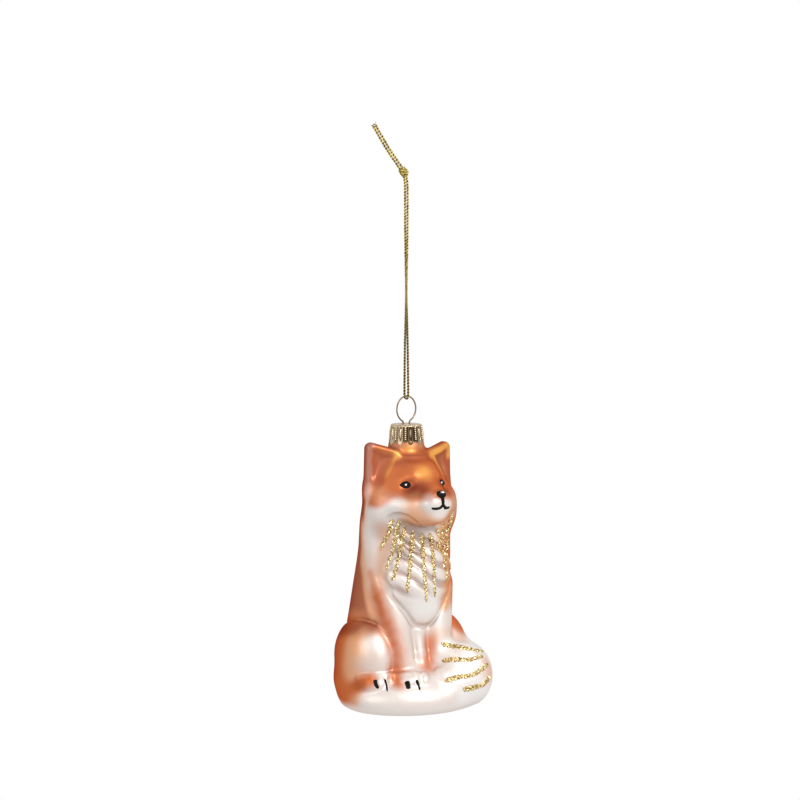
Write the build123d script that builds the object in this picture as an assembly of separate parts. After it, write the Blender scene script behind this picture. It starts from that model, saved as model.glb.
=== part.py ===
from build123d import *
import math
import os

# Hanging ornament: a hollow blown-glass fox with a metal cap, a wire hanger and a tied cord.
# Millimetres, +Z up. The origin is the hanging point, inside the cord loop just under its knot.
# The fox looks along -Y, its right side is -X, and the axis of its neck is the Z axis.

# Cord
CORD_DIAMETER = 1.0
LOOP_DROP = 82.5
FOLD_CLEARANCE = 0.15
FOLD_ARC_SHARE = 0.97
KNOT_RADII = (1.8, 1.8, 2.3)
KNOT_LEAN = 1.0
KNOT_SEAT_HEIGHT = 0.6
KNOT_CROWN = 1.8
KNOT_GAP = 0.1
END_LENGTH = 19.5
END_LEAN_ANGLE = 29.0
END_BEND_ANGLE = 6.0
END_SPACING = 1.15
LEAN_HEADING = 147.0

# Stations of the two strands above the hanger wire: height, half the spread, turn of the pair.
STRAND_STATIONS = [
    (2.0, 1.06, 104.0),
    (7.0, 0.80, 122.0),
    (15.0, 0.70, 152.0),
    (22.0, 0.70, 190.0),
    (34.0, 0.70, 232.0),
    (48.0, 0.66, 252.0),
    (60.0, 0.66, 282.0),
    (72.0, 0.64, 296.0),
    (LOOP_DROP + KNOT_SEAT_HEIGHT - KNOT_GAP, 0.62, 306.0),
]

# Wire hanger
WIRE_DIAMETER = 0.6
RING_RADIUS = 4.9
RING_TURN = 10.0
LEG_SPACING = 3.2
SHOULDER_RADIUS = 1.0
RING_STAND = 0.3
HANGER_TRAVEL = 3.5
LEG_LENGTH = 21.0
LEG_BEND_RADIUS = 12.0
LEG_CLEARANCE = 0.35

# Cap
CAP_HEIGHT = 7.8
CAP_TOP_DIAMETER = 12.4
CAP_SKIRT_DIAMETER = 14.1
CAP_WALL = 0.4
CAP_SHOULDER_RADIUS = 0.7
SCALLOP_COUNT = 10
SCALLOP_DEPTH = 1.4
HOLE_CLEARANCE = 0.2
NECK_CLEARANCE = 0.5

# Glass wall, neck and head. Offsets are (x, y, z) from the middle of the head, radii likewise.
GLASS_WALL = 0.9
NECK_RISE = 8.4
HEAD_HEIGHT = 86.2
HEAD_TURN = -3.0
HEAD_OFFSET = (0.0, 0.0, -1.6)
HEAD_RADII = (17.2, 15.6, 13.6)
COLLAR_RISE = 6.0
COLLAR_HEIGHT = 7.0
COLLAR_BASE_RADIUS = 9.4
COLLAR_TOP_RADIUS = 7.0
MUZZLE_OFFSET = (0.0, -17.2, -7.2)
MUZZLE_RADII = (7.0, 8.6, 6.7)
NOSE_OFFSET = (0.0, -24.8, -2.3)
NOSE_RADII = (2.5, 1.9, 1.8)
BRIDGE_OFFSET = (0.0, -14.4, -0.4)
BRIDGE_RADII = (5.2, 11.6, 4.5)
BRIDGE_TILT = 23.5
CHEEK_OFFSET = (8.8, -6.0, -6.2)
CHEEK_RADII = (7.6, 8.2, 6.6)
RUFF_OFFSET = (11.5, -4.0, -10.6)
RUFF_RADII = (7.0, 8.0, 10.0)
JAW_OFFSET = (0.0, -15.4, -9.8)
JAW_RADII = (7.4, 8.0, 5.4)
JOWL_OFFSET = (6.6, -12.4, -7.4)
JOWL_RADII = (6.6, 7.2, 5.6)
BROW_OFFSET = (4.2, -10.0, 4.0)
BROW_RADII = (5.4, 5.2, 4.0)

# Ears: plates with three rounded corners, given across and above each ear's own place.
EAR_OFFSET = (11.2, -2.6, 0.0)
EAR_SPREAD = 12.0
EAR_RIGHT_RISE = 1.0
EAR_CORNERS = [(5.0, 12.7), (5.4, -4.0), (-3.8, 10.2)]
EAR_ROUNDING = 2.3
EAR_CORE = 1.0
EAR_DISH_PLACE = (2.0, 8.4)
EAR_DISH_LIFT = 2.4
EAR_DISH_RADII = (4.6, 7.2, 4.0)

# Body and limbs. Places are (x, y, height above the underside), on the left side where paired.
BIB_CENTRE = (-0.5, -5.0, 51.4)
BIB_RADII = (15.0, 13.4, 17.6)
BELLY_CENTRE = (0.0, -1.4, 25.0)
BELLY_RADII = (10.0, 7.0, 18.0)
HAUNCH_CENTRE = (16.4, 3.6, 19.6)
HAUNCH_RADII = (10.2, 15.0, 14.0)
HIP_CENTRE = (16.6, 5.6, 10.4)
HIP_RADII = (9.3, 13.4, 9.0)
SHOULDER_CENTRE = (10.8, -3.6, 47.0)
SHOULDER_TOP_RADIUS = 6.6
ANKLE_CENTRE = (7.7, -8.8, 12.0)
ANKLE_RADIUS = 5.0
PAW_CENTRE = (7.6, -12.6, 12.4)
PAW_RADII = (6.2, 7.0, 4.2)
FOOT_CENTRE = (18.6, -3.2, 11.4)
FOOT_RADII = (6.6, 10.2, 5.0)

# Torso sections: height, half width, half depth, place along Y.
TORSO_SECTIONS = [
    (6.0, 22.0, 15.0, 7.6),
    (13.5, 22.2, 14.8, 8.0),
    (21.0, 22.4, 14.6, 8.4),
    (33.0, 19.6, 16.6, 5.8),
    (46.0, 18.2, 17.8, 3.8),
    (61.0, 18.3, 15.8, 1.4),
    (74.0, 17.8, 14.4, 1.0),
    (HEAD_HEIGHT, 15.0, 12.6, 0.4),
]

# Rounded base under the paws: height, half width, half depth.
BASE_CENTRE = (1.4, -1.0)
BASE_SECTIONS = [
    (0.0, 24.2, 21.2),
    (4.0, 26.4, 23.2),
    (8.0, 25.8, 22.6),
    (14.0, 20.0, 17.0),
]

# Tail sections from the rump round the left side to the front: place, radius, heading.
TAIL_SECTIONS = [
    ((1.0, 17.6, 11.0), 4.9, 8.0),
    ((10.0, 18.3, 11.0), 9.0, -12.0),
    ((20.8, 8.0, 11.4), 11.4, -75.0),
    ((20.9, -4.6, 11.6), 12.8, -110.0),
    ((15.2, -13.2, 12.2), 12.8, -140.0),
    ((8.4, -17.2, 9.6), 8.6, -155.0),
]

# Sizes and heights worked out from the hanging point downwards
WIRE_RADIUS = WIRE_DIAMETER / 2
CORD_RADIUS = CORD_DIAMETER / 2
HALF_LEGS = LEG_SPACING / 2
RING_TOP_Z = -LOOP_DROP
RING_CENTRE_Z = RING_TOP_Z - RING_RADIUS
SHOULDER_REACH = RING_RADIUS + SHOULDER_RADIUS
SHOULDER_X = HALF_LEGS + SHOULDER_RADIUS
SHOULDER_Z = RING_CENTRE_Z - math.sqrt(SHOULDER_REACH**2 - SHOULDER_X**2)
CAP_TOP_Z = SHOULDER_Z - RING_STAND
CAP_SEAT_Z = CAP_TOP_Z - CAP_WALL
CAP_BOTTOM_Z = CAP_TOP_Z - CAP_HEIGHT
NECK_RADIUS = CAP_TOP_DIAMETER / 2 - CAP_WALL - NECK_CLEARANCE
BORE_RADIUS = NECK_RADIUS - GLASS_WALL
NECK_LENGTH = HEAD_RADII[2] + NECK_RISE
BASE_Z = CAP_SEAT_Z - NECK_LENGTH - HEAD_HEIGHT
HEAD_FRAME = Pos(0, 0, BASE_Z + HEAD_HEIGHT) * Rot(0, 0, HEAD_TURN)
LEAN_DIRECTION = Vector(1, 0, 0).rotate(Axis.Z, LEAN_HEADING)


def ellipsoid(centre, radii, inset=0.0):
    """An ellipsoid on the body, shrunk by the inset on every side."""
    shape = scale(Sphere(1), by=tuple(radius - inset for radius in radii))
    return Pos(centre[0], centre[1], BASE_Z + centre[2]) * shape


def head_ellipsoid(offset, radii, inset=0.0, tilt=0.0):
    """An ellipsoid on the turned head, tilted about the line between the ears."""
    shape = scale(Sphere(1), by=tuple(radius - inset for radius in radii))
    return HEAD_FRAME * Pos(*offset) * Rot(tilt, 0, 0) * shape


def mirrored(centre, side):
    """A place on the fox's left side (1) or right side (-1)."""
    return (side * centre[0], centre[1], centre[2])


def torso(inset=0.0):
    """Trunk from the hips to the inside of the head."""
    faces = []
    for height, half_width, half_depth, place in TORSO_SECTIONS:
        level = Pos(0, place, BASE_Z + height)
        faces.append(level * Ellipse(half_width - inset, half_depth - inset))
    return loft(faces)


def base_pad(inset=0.0):
    """Low rounded base with a flat underside."""
    faces = []
    lift = inset
    for height, half_width, half_depth in BASE_SECTIONS:
        level = Pos(BASE_CENTRE[0], BASE_CENTRE[1], BASE_Z + height + lift)
        faces.append(level * Ellipse(half_width - inset, half_depth - inset))
        lift = 0.0
    return loft(faces)


def tail(inset=0.0):
    """Thick tail that curls round the left side, with a round tip."""
    faces = []
    for place, radius, heading in TAIL_SECTIONS:
        turn = math.radians(heading)
        plane = Plane(
            origin=(place[0], place[1], BASE_Z + place[2]),
            x_dir=(0, 0, 1),
            z_dir=(math.cos(turn), math.sin(turn), 0),
        )
        faces.append(plane * Circle(radius - inset))
    tip_place, tip_radius, _ = TAIL_SECTIONS[-1]
    tip = ellipsoid(tip_place, (tip_radius,) * 3, inset)
    return loft(faces) + tip


def leg(side):
    """Front leg, a cone from the shoulder down to the ankle."""
    top = Vector(*mirrored(SHOULDER_CENTRE, side)) + Vector(0, 0, BASE_Z)
    foot = Vector(*mirrored(ANKLE_CENTRE, side)) + Vector(0, 0, BASE_Z)
    run = foot - top
    plane = Plane(origin=top, z_dir=run)
    ends = (Align.CENTER, Align.CENTER, Align.MIN)
    return plane * Cone(SHOULDER_TOP_RADIUS, ANKLE_RADIUS, run.length, align=ends)


def ear(side):
    """Upright ear: a plate with three rounded corners and a shallow dish in its front."""
    core = extrude(Polygon(*EAR_CORNERS, align=None), EAR_CORE)
    plate = offset(Pos(0, 0, -EAR_CORE / 2) * core, EAR_ROUNDING)
    front = EAR_CORE / 2 + EAR_ROUNDING
    dish = scale(Sphere(1), by=EAR_DISH_RADII)
    plate -= Pos(EAR_DISH_PLACE[0], EAR_DISH_PLACE[1], front + EAR_DISH_LIFT) * dish
    spread = math.radians(EAR_SPREAD)
    own_plane = Plane(
        origin=EAR_OFFSET,
        x_dir=(math.cos(spread), math.sin(spread), 0),
        z_dir=(math.sin(spread), -math.cos(spread), 0),
    )
    blade = own_plane * plate
    if side < 0:
        blade = Pos(0, 0, EAR_RIGHT_RISE) * mirror(blade, about=Plane.YZ)
    return HEAD_FRAME * blade


def collar():
    """Short cone on top of the head, under the cap."""
    ends = (Align.CENTER, Align.CENTER, Align.MIN)
    cone = Cone(COLLAR_BASE_RADIUS, COLLAR_TOP_RADIUS, COLLAR_HEIGHT, align=ends)
    return HEAD_FRAME * Pos(0, 0, COLLAR_RISE) * cone


def below(height):
    """Everything under a height above the underside."""
    ends = (Align.CENTER, Align.CENTER, Align.MAX)
    size = 4 * BASE_SECTIONS[1][1]
    return Pos(0, 0, BASE_Z + height) * Box(size, size, size, align=ends)


def rounded_forms(inset=0.0):
    """The blown volumes, outside (no inset) or inside (inset by the wall)."""
    forms = [
        torso(inset),
        head_ellipsoid(HEAD_OFFSET, HEAD_RADII, inset),
        head_ellipsoid(MUZZLE_OFFSET, MUZZLE_RADII, inset),
        ellipsoid(BIB_CENTRE, BIB_RADII, inset),
        tail(inset),
        base_pad(inset),
    ]
    for side in (-1, 1):
        forms.append(head_ellipsoid(mirrored(CHEEK_OFFSET, side), CHEEK_RADII, inset))
        forms.append(head_ellipsoid(mirrored(RUFF_OFFSET, side), RUFF_RADII, inset))
        forms.append(ellipsoid(mirrored(HAUNCH_CENTRE, side), HAUNCH_RADII, inset))
    return forms


def raised_forms():
    """Forms that stand on the blown volumes and are not hollow themselves."""
    forms = [
        head_ellipsoid(BRIDGE_OFFSET, BRIDGE_RADII, tilt=BRIDGE_TILT),
        head_ellipsoid(NOSE_OFFSET, NOSE_RADII),
        head_ellipsoid(JAW_OFFSET, JAW_RADII),
        ellipsoid(BELLY_CENTRE, BELLY_RADII),
        collar(),
        neck_cylinder(NECK_RADIUS),
    ]
    for side in (-1, 1):
        forms.append(head_ellipsoid(mirrored(JOWL_OFFSET, side), JOWL_RADII))
        forms.append(head_ellipsoid(mirrored(BROW_OFFSET, side), BROW_RADII))
        forms.append(ear(side))
        forms.append(leg(side))
        forms.append(ellipsoid(mirrored(HIP_CENTRE, side), HIP_RADII))
        forms.append(ellipsoid(mirrored(PAW_CENTRE, side), PAW_RADII))
        forms.append(ellipsoid(mirrored(FOOT_CENTRE, side), FOOT_RADII))
    return forms


def neck_cylinder(radius):
    """Upright cylinder from the middle of the head to the rim of the neck."""
    ends = (Align.CENTER, Align.CENTER, Align.MAX)
    return Pos(0, 0, CAP_SEAT_Z) * Cylinder(radius, NECK_LENGTH, align=ends)


def glass_body():
    """The whole fox, one hollow shell that opens at the neck."""
    outside = rounded_forms() + raised_forms()
    inside = rounded_forms(GLASS_WALL) + [neck_cylinder(BORE_RADIUS)]
    shell = outside[0].fuse(*outside[1:]) - below(0.0)
    hollow = inside[0].fuse(*inside[1:]) - below(GLASS_WALL)
    return shell - hollow


def cap():
    """Stamped cap: a flared cup with a scalloped lower edge and two wire holes."""
    ends = (Align.CENTER, Align.CENTER, Align.MIN)
    skirt_radius = CAP_SKIRT_DIAMETER / 2
    top_radius = CAP_TOP_DIAMETER / 2
    cup = Pos(0, 0, CAP_BOTTOM_Z) * Cone(skirt_radius, top_radius, CAP_HEIGHT, align=ends)
    cup = fillet(cup.edges().sort_by(Axis.Z)[-1], CAP_SHOULDER_RADIUS)
    hollow_height = CAP_HEIGHT - CAP_WALL
    hollow = Cone(skirt_radius - CAP_WALL, top_radius - CAP_WALL, hollow_height, align=ends)
    cup -= Pos(0, 0, CAP_BOTTOM_Z) * hollow
    half_notch = skirt_radius * math.tan(math.pi / SCALLOP_COUNT)
    notch_profile = Plane.YZ * Polygon(
        (-half_notch, 0), (half_notch, 0), (0, SCALLOP_DEPTH), align=None
    )
    notch = Pos(0, 0, CAP_BOTTOM_Z) * extrude(notch_profile, CAP_SKIRT_DIAMETER)
    for index in range(SCALLOP_COUNT):
        cup -= Rot(0, 0, (index + 0.5) * 360 / SCALLOP_COUNT) * notch
    hole = Cylinder(WIRE_RADIUS + HOLE_CLEARANCE, 4 * CAP_WALL)
    for side in (-1, 1):
        cup -= Rot(0, 0, RING_TURN) * Pos(side * HALF_LEGS, 0, CAP_TOP_Z) * hole
    return cup


def hanger_half(side):
    """Path of one leg: from its end inside the glass to the ring's shoulder."""
    end_x = BORE_RADIUS - WIRE_RADIUS - LEG_CLEARANCE
    bend_length = LEG_BEND_RADIUS * math.tan(math.atan2(end_x - HALF_LEGS, LEG_LENGTH))
    bend_z = CAP_SEAT_Z - HANGER_TRAVEL - WIRE_DIAMETER - bend_length
    leg_path = FilletPolyline(
        (side * end_x, 0, CAP_SEAT_Z - LEG_LENGTH),
        (side * HALF_LEGS, 0, bend_z),
        (side * HALF_LEGS, 0, SHOULDER_Z),
        radius=LEG_BEND_RADIUS,
    )
    share = RING_RADIUS / SHOULDER_REACH
    meet = (side * SHOULDER_X * share, 0, RING_CENTRE_Z + (SHOULDER_Z - RING_CENTRE_Z) * share)
    shoulder = TangentArc((side * HALF_LEGS, 0, SHOULDER_Z), meet, tangent=(0, 0, 1))
    return leg_path, shoulder, meet


def wire_hanger():
    """One bent wire: a ring above the cap and two legs down through its holes."""
    left_leg, left_shoulder, left_meet = hanger_half(-1)
    right_leg, right_shoulder, right_meet = hanger_half(1)
    ring = ThreePointArc(left_meet, (0, 0, RING_TOP_Z), right_meet)
    bends = [left_shoulder.edge(), ring.edge(), right_shoulder.edge()]
    path = Wire(left_leg.edges() + bends + right_leg.edges())
    section = Plane(origin=path @ 0, z_dir=path % 0) * Circle(WIRE_RADIUS)
    return Rot(0, 0, RING_TURN) * sweep(section, path=path)


def cord_tube(points, fixed_radii=None):
    """Round tube along straight runs joined by tangent arcs, as large as the runs allow."""
    fixed_radii = fixed_radii or {}
    places = [Vector(*point) for point in points]
    radii = []
    for index in range(1, len(places) - 1):
        before = places[index] - places[index - 1]
        after = places[index + 1] - places[index]
        half_turn = math.radians(before.get_angle(after)) / 2
        largest = 0.45 * min(before.length, after.length) / math.tan(half_turn)
        radii.append(fixed_radii.get(index, largest))
    path = FilletPolyline(*places, radius=radii)
    section = Plane(origin=path @ 0, z_dir=path % 0) * Circle(CORD_RADIUS)
    tube = sweep(section, path=path)
    expected = math.pi * CORD_RADIUS**2 * path.length
    print("cord radii", [round(radius, 2) for radius in radii])
    print("cord length", round(path.length, 2), "volume", round(tube.volume, 3), "of", round(expected, 3))
    return tube


def strand_points(side):
    """Route of one strand from the fold up to the knot."""
    points = []
    for height, half_spread, turn in STRAND_STATIONS:
        angle = math.radians(turn)
        x = side * half_spread * math.cos(angle)
        y = side * half_spread * math.sin(angle)
        points.append((x, y, RING_TOP_Z + height))
    return points


def cord_loop():
    """Two strands from the knot, folded round the hanger wire."""
    fold_radius = WIRE_RADIUS + CORD_RADIUS + FOLD_CLEARANCE
    across = Vector(0, fold_radius, 0).rotate(Axis.Z, RING_TURN)
    bottom = Vector(0, 0, RING_TOP_Z - fold_radius)
    front = list(reversed(strand_points(-1)))
    fold = [tuple(bottom - across), tuple(bottom + across)]
    fold_arc = FOLD_ARC_SHARE * fold_radius
    count = len(front)
    return cord_tube(front + fold + strand_points(1), {count: fold_arc, count + 1: fold_arc})


def end_direction(extra=0.0):
    """Direction of the cut ends, leaning up and away from the knot."""
    lean = math.radians(END_LEAN_ANGLE + extra)
    return LEAN_DIRECTION * math.sin(lean) + Vector(0, 0, math.cos(lean))


def knot_centre():
    """Middle of the knot, a little off the strands towards the cut ends."""
    return LEAN_DIRECTION * KNOT_LEAN + Vector(0, 0, KNOT_SEAT_HEIGHT + KNOT_CROWN)


def cord_knot():
    """Overhand knot: a rounded lump, flat where the strands and the cut ends leave it."""
    centre = knot_centre()
    rise = end_direction(END_BEND_ANGLE)
    lump = Plane(origin=centre, z_dir=rise) * scale(Sphere(1), by=KNOT_RADII)
    block = 4 * KNOT_RADII[2]
    under = (Align.CENTER, Align.CENTER, Align.MAX)
    over = (Align.CENTER, Align.CENTER, Align.MIN)
    below = Pos(0, 0, KNOT_SEAT_HEIGHT) * Box(block, block, block, align=under)
    crown = Plane(origin=centre + rise * KNOT_CROWN, z_dir=rise)
    above = crown * Box(block, block, block, align=over)
    return lump - below - above


def cord_end(side):
    """One cut end of the cord, above the knot."""
    first = end_direction(END_BEND_ANGLE)
    second = end_direction()
    beside = first.cross(LEAN_DIRECTION.cross(first)).normalized()
    start = knot_centre() + first * (KNOT_CROWN + KNOT_GAP) + beside * (side * END_SPACING / 2)
    middle = start + first * (END_LENGTH / 2)
    tip = middle + second * (END_LENGTH / 2)
    return cord_tube([tuple(start), tuple(middle), tuple(tip)])


PIECES = {
    "glass_body": glass_body(),
    "cap": cap(),
    "wire_hanger": wire_hanger(),
    "cord_loop": cord_loop(),
    "cord_knot": cord_knot(),
    "cord_end_left": cord_end(1),
    "cord_end_right": cord_end(-1),
}

os.makedirs("parts", exist_ok=True)
for name, piece in PIECES.items():
    export_step(piece, f"parts/{name}.step")
    print(name, "volume", round(piece.volume, 2), "solids", len(piece.solids()))
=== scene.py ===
import math

import bmesh
import bpy
import numpy as np
from bpy.props import FloatProperty, FloatVectorProperty, IntProperty, PointerProperty
from mathutils import Matrix, Vector
from mathutils.bvhtree import BVHTree


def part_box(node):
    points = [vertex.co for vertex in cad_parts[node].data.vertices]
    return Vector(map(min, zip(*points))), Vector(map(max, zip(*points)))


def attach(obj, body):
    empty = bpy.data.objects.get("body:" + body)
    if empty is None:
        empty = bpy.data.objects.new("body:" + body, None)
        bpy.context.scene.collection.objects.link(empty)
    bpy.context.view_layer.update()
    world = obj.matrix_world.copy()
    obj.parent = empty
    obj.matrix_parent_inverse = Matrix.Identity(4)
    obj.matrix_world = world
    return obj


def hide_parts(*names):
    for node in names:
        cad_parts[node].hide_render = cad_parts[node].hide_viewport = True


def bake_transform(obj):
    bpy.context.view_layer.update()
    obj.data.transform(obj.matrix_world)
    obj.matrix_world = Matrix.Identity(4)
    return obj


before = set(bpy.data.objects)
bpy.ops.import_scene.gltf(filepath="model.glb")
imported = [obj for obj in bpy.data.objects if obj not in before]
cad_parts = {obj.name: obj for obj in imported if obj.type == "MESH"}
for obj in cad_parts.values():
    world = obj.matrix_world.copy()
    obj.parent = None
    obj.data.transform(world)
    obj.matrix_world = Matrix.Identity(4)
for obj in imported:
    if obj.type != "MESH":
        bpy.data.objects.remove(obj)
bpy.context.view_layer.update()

bl_info = {
    "name": "Hanging glass fox",
    "version": (1, 0, 0),
    "blender": (4, 5, 0),
    "location": "View3D > Sidebar > Glass fox",
    "description": "Lacquered glass, enamel, glitter, stamped cap, wire and cord of a hanging fox",
    "category": "Object",
}

MM = 0.001
GLASS_LOW, GLASS_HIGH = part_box("glass_body")
CAP_LOW, CAP_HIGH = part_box("cap")
UNDERSIDE = GLASS_LOW.z / MM
NECK_TOP = GLASS_HIGH.z / MM - UNDERSIDE
BOTH = (-1, 1)
PICTURE = 800.0

# Fox forms in millimetres, from the middle of the underside. The fox faces -Y.
# Most are rounded forms, given as middle, radii and reach of the soft join to what they sit on.
# Forms that come in pairs are given for the fox's left.
AHEAD = (0.0, -1.0, 0.0)
HEAD_CENTRE = (0.0, 0.0, 86.2)
HEAD_RADII = (17.2, 15.6, 13.6)
HEAD_JOIN = 2.4
# Trunk by height, half width, half depth and how far back its middle lies.
TORSO = [
    (-4.0, 21.0, 15.0, 7.4),
    (6.0, 22.0, 15.0, 7.6),
    (21.0, 22.4, 14.6, 8.4),
    (33.0, 20.6, 16.6, 5.8),
    (46.0, 18.8, 17.8, 3.8),
    (61.0, 18.3, 15.8, 1.4),
    (74.0, 17.8, 14.4, 1.0),
    (86.2, 15.0, 12.6, 0.4),
    (96.0, 8.0, 8.0, 0.0),
]
# Base pad by height, half width and half depth.
PAD = [
    (-6.0, 20.0, 17.0),
    (0.0, 24.2, 21.2),
    (4.0, 26.4, 23.2),
    (8.0, 25.8, 22.6),
    (14.0, 20.0, 17.0),
    (20.0, 8.0, 8.0),
]
PAD_CENTRE = (0.4, -1.0)
PAD_JOIN = 4.0
BASE_ROUNDING = 2.4
# Tail by middle and radius, from its root to its tip.
TAIL = [
    ((4.0, 20.0, 11.0), 5.0),
    ((10.0, 18.5, 11.0), 8.5),
    ((20.8, 8.0, 11.4), 10.8),
    ((20.9, -4.6, 11.6), 12.2),
    ((15.2, -13.2, 12.2), 12.0),
    ((8.4, -17.2, 9.6), 6.6),
]
TAIL_BEND_JOIN = 4.0
TAIL_JOIN = 3.6
HAUNCH = ((16.4, 3.6, 20.4), (10.2, 15.0, 15.4))
HAUNCH_CREASE = (1.2, 0.2)
HAUNCH_REAR = [((16.6, 5.6, 10.4), (9.3, 13.4, 9.0), 4.0)]
BELLY = [((0.0, -1.4, 25.0), (10.0, 7.0, 18.0), 3.0)]
# The filling between the legs and the two legs: start, end and their radii, then the reach of the join.
LEGS = [
    ((0.0, -5.5, 36.0), (-0.4, -11.0, 14.0), 3.6, 3.0, 2.4),
    ((-10.7, -3.6, 47.0), (-7.2, -8.8, 12.0), 6.6, 5.4, 1.4),
    ((10.5, -3.6, 47.0), (7.0, -9.2, 12.0), 7.0, 6.0, 1.4),
]
# Front paws and hind feet: middle, radii, middle of the toes and reach of the join.
PAWS = [
    ((7.6, -12.6, 12.4), (6.2, 7.0, 4.2), (6.6, -15.8, 12.4), 0.9),
    ((18.6, -3.2, 11.4), (6.6, 10.2, 5.0), (18.2, -9.6, 12.2), 1.0),
]
PAW_TURN = 0.5
TOES_JOIN = 1.2
TOE_RADII = (2.3, 3.8, 3.5)
TOE_SPACING = 3.7
TOE_STEP_BACK = 0.7
TOE_JOIN = 0.9
BIB = ((-0.5, -5.0, 51.4), (15.0, 13.4, 17.6))
BIB_POINT = [((0.4, -6.0, 41.0), (9.6, 8.8, 10.6), 2.0)]
BIB_CREASE = (1.1, 0.3)
CREASE_REACH = 1.2
NECK_RADIUS = 5.3
NECK_START = 60.0
NECK_JOIN = 0.9
BORE = ((0.0, 0.0, 84.0), (0.0, 0.0, 130.0), 4.4, 4.4)
BORE_ROUNDING = 0.3

# Head forms in millimetres from the head's own middle.
SKULL = (0.0, 0.0, -1.6)
CROWN = ((0.0, 0.0, 6.0), (0.0, 0.0, 13.0), 9.4, 7.0)
CROWN_JOIN = 2.4
CHEEKS_AND_BROW = [
    ((8.8, -6.0, -6.2), (7.6, 8.2, 6.6), 3.5),
    ((11.5, -4.0, -10.6), (7.0, 8.0, 10.0), 3.0),
    ((6.6, -12.4, -7.4), (6.0, 6.6, 5.0), 4.0),
    ((4.2, -10.0, 4.0), (5.0, 4.8, 3.6), 4.0),
]
BRIDGE = ((0.0, -14.4, -0.4), (4.6, 11.4, 4.2), 4.5)
BRIDGE_UP = (0.0, -0.40, 0.92)
EYE_SOCKET = ((9.0, -15.9, 0.8), (3.4, 3.0, 2.2), 2.0)
MUZZLE = ((0.0, -17.2, -7.2), (7.0, 8.6, 6.7), 5.0)
LIP_PAD = [((2.6, -22.4, -6.2), (3.2, 3.3, 2.9), 1.4)]
JAW_AND_CHIN = [
    ((0.0, -15.4, -9.8), (7.4, 8.0, 5.4), 2.0),
    ((0.0, -21.4, -10.8), (3.8, 3.4, 2.6), 1.6),
]
NOSE_TIP = [((0.0, -24.8, -2.3), (2.5, 1.9, 1.8), 0.8)]
# Ears: place beside the head's middle, then corners along and above the ear's own plane.
EAR_PLACE = (11.2, -2.6)
EAR_RISE = {-1: 1.0, 1: 0.0}
EAR_SPREAD = math.radians(12.0)
EAR_ROUNDING = 2.3
EAR_HALF_THICKNESS = 0.5
EAR_BOW = 0.006
EAR_BOW_PLACE = 6.0
EAR_JOIN = 2.4
EAR_CORNERS = [(5.0, 12.7), (5.4, -4.0), (-3.8, 10.2)]
DISH_CORNERS = [(3.8, 11.1), (3.7, 2.8), (-1.9, 9.5)]
DISH_ROUNDING = 1.2
DISH_REACH = 4.2
DISH_FLOOR = 1.2
DISH_RISE = 1.6
DISH_STEEPNESS = 0.65
DISH_JOIN = 1.8
JAW_FOLD = [
    (-14.2, -11.6, -11.3),
    (-13.0, -13.1, -10.4),
    (-11.3, -15.5, -10.1),
    (-9.3, -17.3, -11.0),
    (-7.1, -17.9, -12.6),
    (-3.8, -16.9, -14.6),
]
JAW_FOLD_WIDTH = 0.35
JAW_FOLD_REACH = 1.2
# Ledge over the feet on the fox's right, from the underside's middle again.
FOOT_LEDGE = [
    (-24.2, -4.4, 13.6),
    (-22.6, -7.4, 14.6),
    (-19.9, -9.9, 14.9),
    (-16.2, -11.0, 15.0),
    (-12.8, -12.4, 14.8),
    (-10.2, -15.2, 15.0),
    (-6.6, -16.9, 15.0),
    (-3.2, -17.0, 14.4),
]
SHADE_REACH = 2.5
LEDGE_RADIUS = 1.0
LEDGE_JOIN = 1.2

# Chest fur: distance between rows, their slant, where the slant turns level, and how softly.
FUR_ROW = 6.6
FUR_SLANT = 0.78
FUR_TURN = 6.0
FUR_TURN_SOFTNESS = 20.0
FUR_START = 0.4
FUR_WAVE = 0.6
FUR_WAVE_TURNS = (0.42, 0.15)
FUR_LEAN = 0.2
FUR_LEVEL = 0.6
FUR_MIDDLE = -1.0
# Where the fur fades in, as (none, full): from the front, from the middle, from below and from above.
FUR_FRONT = (-6.0, -11.0)
FUR_SIDES = (15.0, 9.0)
FUR_FOOT = (42.0, 48.0)
FUR_TOP = (74.0, 67.0)


def soft_join(a, b, reach):
    """Distance to two forms that run into each other over a given reach."""
    share = np.clip(0.5 + 0.5 * (b - a) / reach, 0.0, 1.0)
    return b + (a - b) * share - reach * share * (1.0 - share)


def soft_cut(a, b, reach):
    """Distance to form a with form b pressed out of it."""
    return -soft_join(-a, b, reach)


def creased(a, b, reach, width):
    """Distance to two forms with a groove along the line where they meet."""
    return soft_cut(soft_join(a, b, reach), np.hypot(a, b) - width, CREASE_REACH)


def egg(p, centre, radii, axes=None):
    """Distance to an ellipsoid, about right near its surface."""
    q = p - np.float32(centre)[:, None]
    if axes is not None:
        q = np.float32(axes) @ q
    r = np.float32(radii)[:, None]
    near = np.sqrt(((q / r) ** 2).sum(0)) + 1e-6
    slope = np.sqrt(((q / (r * r)) ** 2).sum(0)) + 1e-6
    return near * (near - 1.0) / slope


def limb(p, start, end, start_radius, end_radius):
    """Distance to a tapered round limb."""
    a = np.float32(start)[:, None]
    along = np.float32(end)[:, None] - a
    t = np.clip(((p - a) * along).sum(0) / (along * along).sum(), 0.0, 1.0)
    return np.sqrt(((p - a - along * t) ** 2).sum(0)) - (start_radius + t * (end_radius - start_radius))


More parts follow.
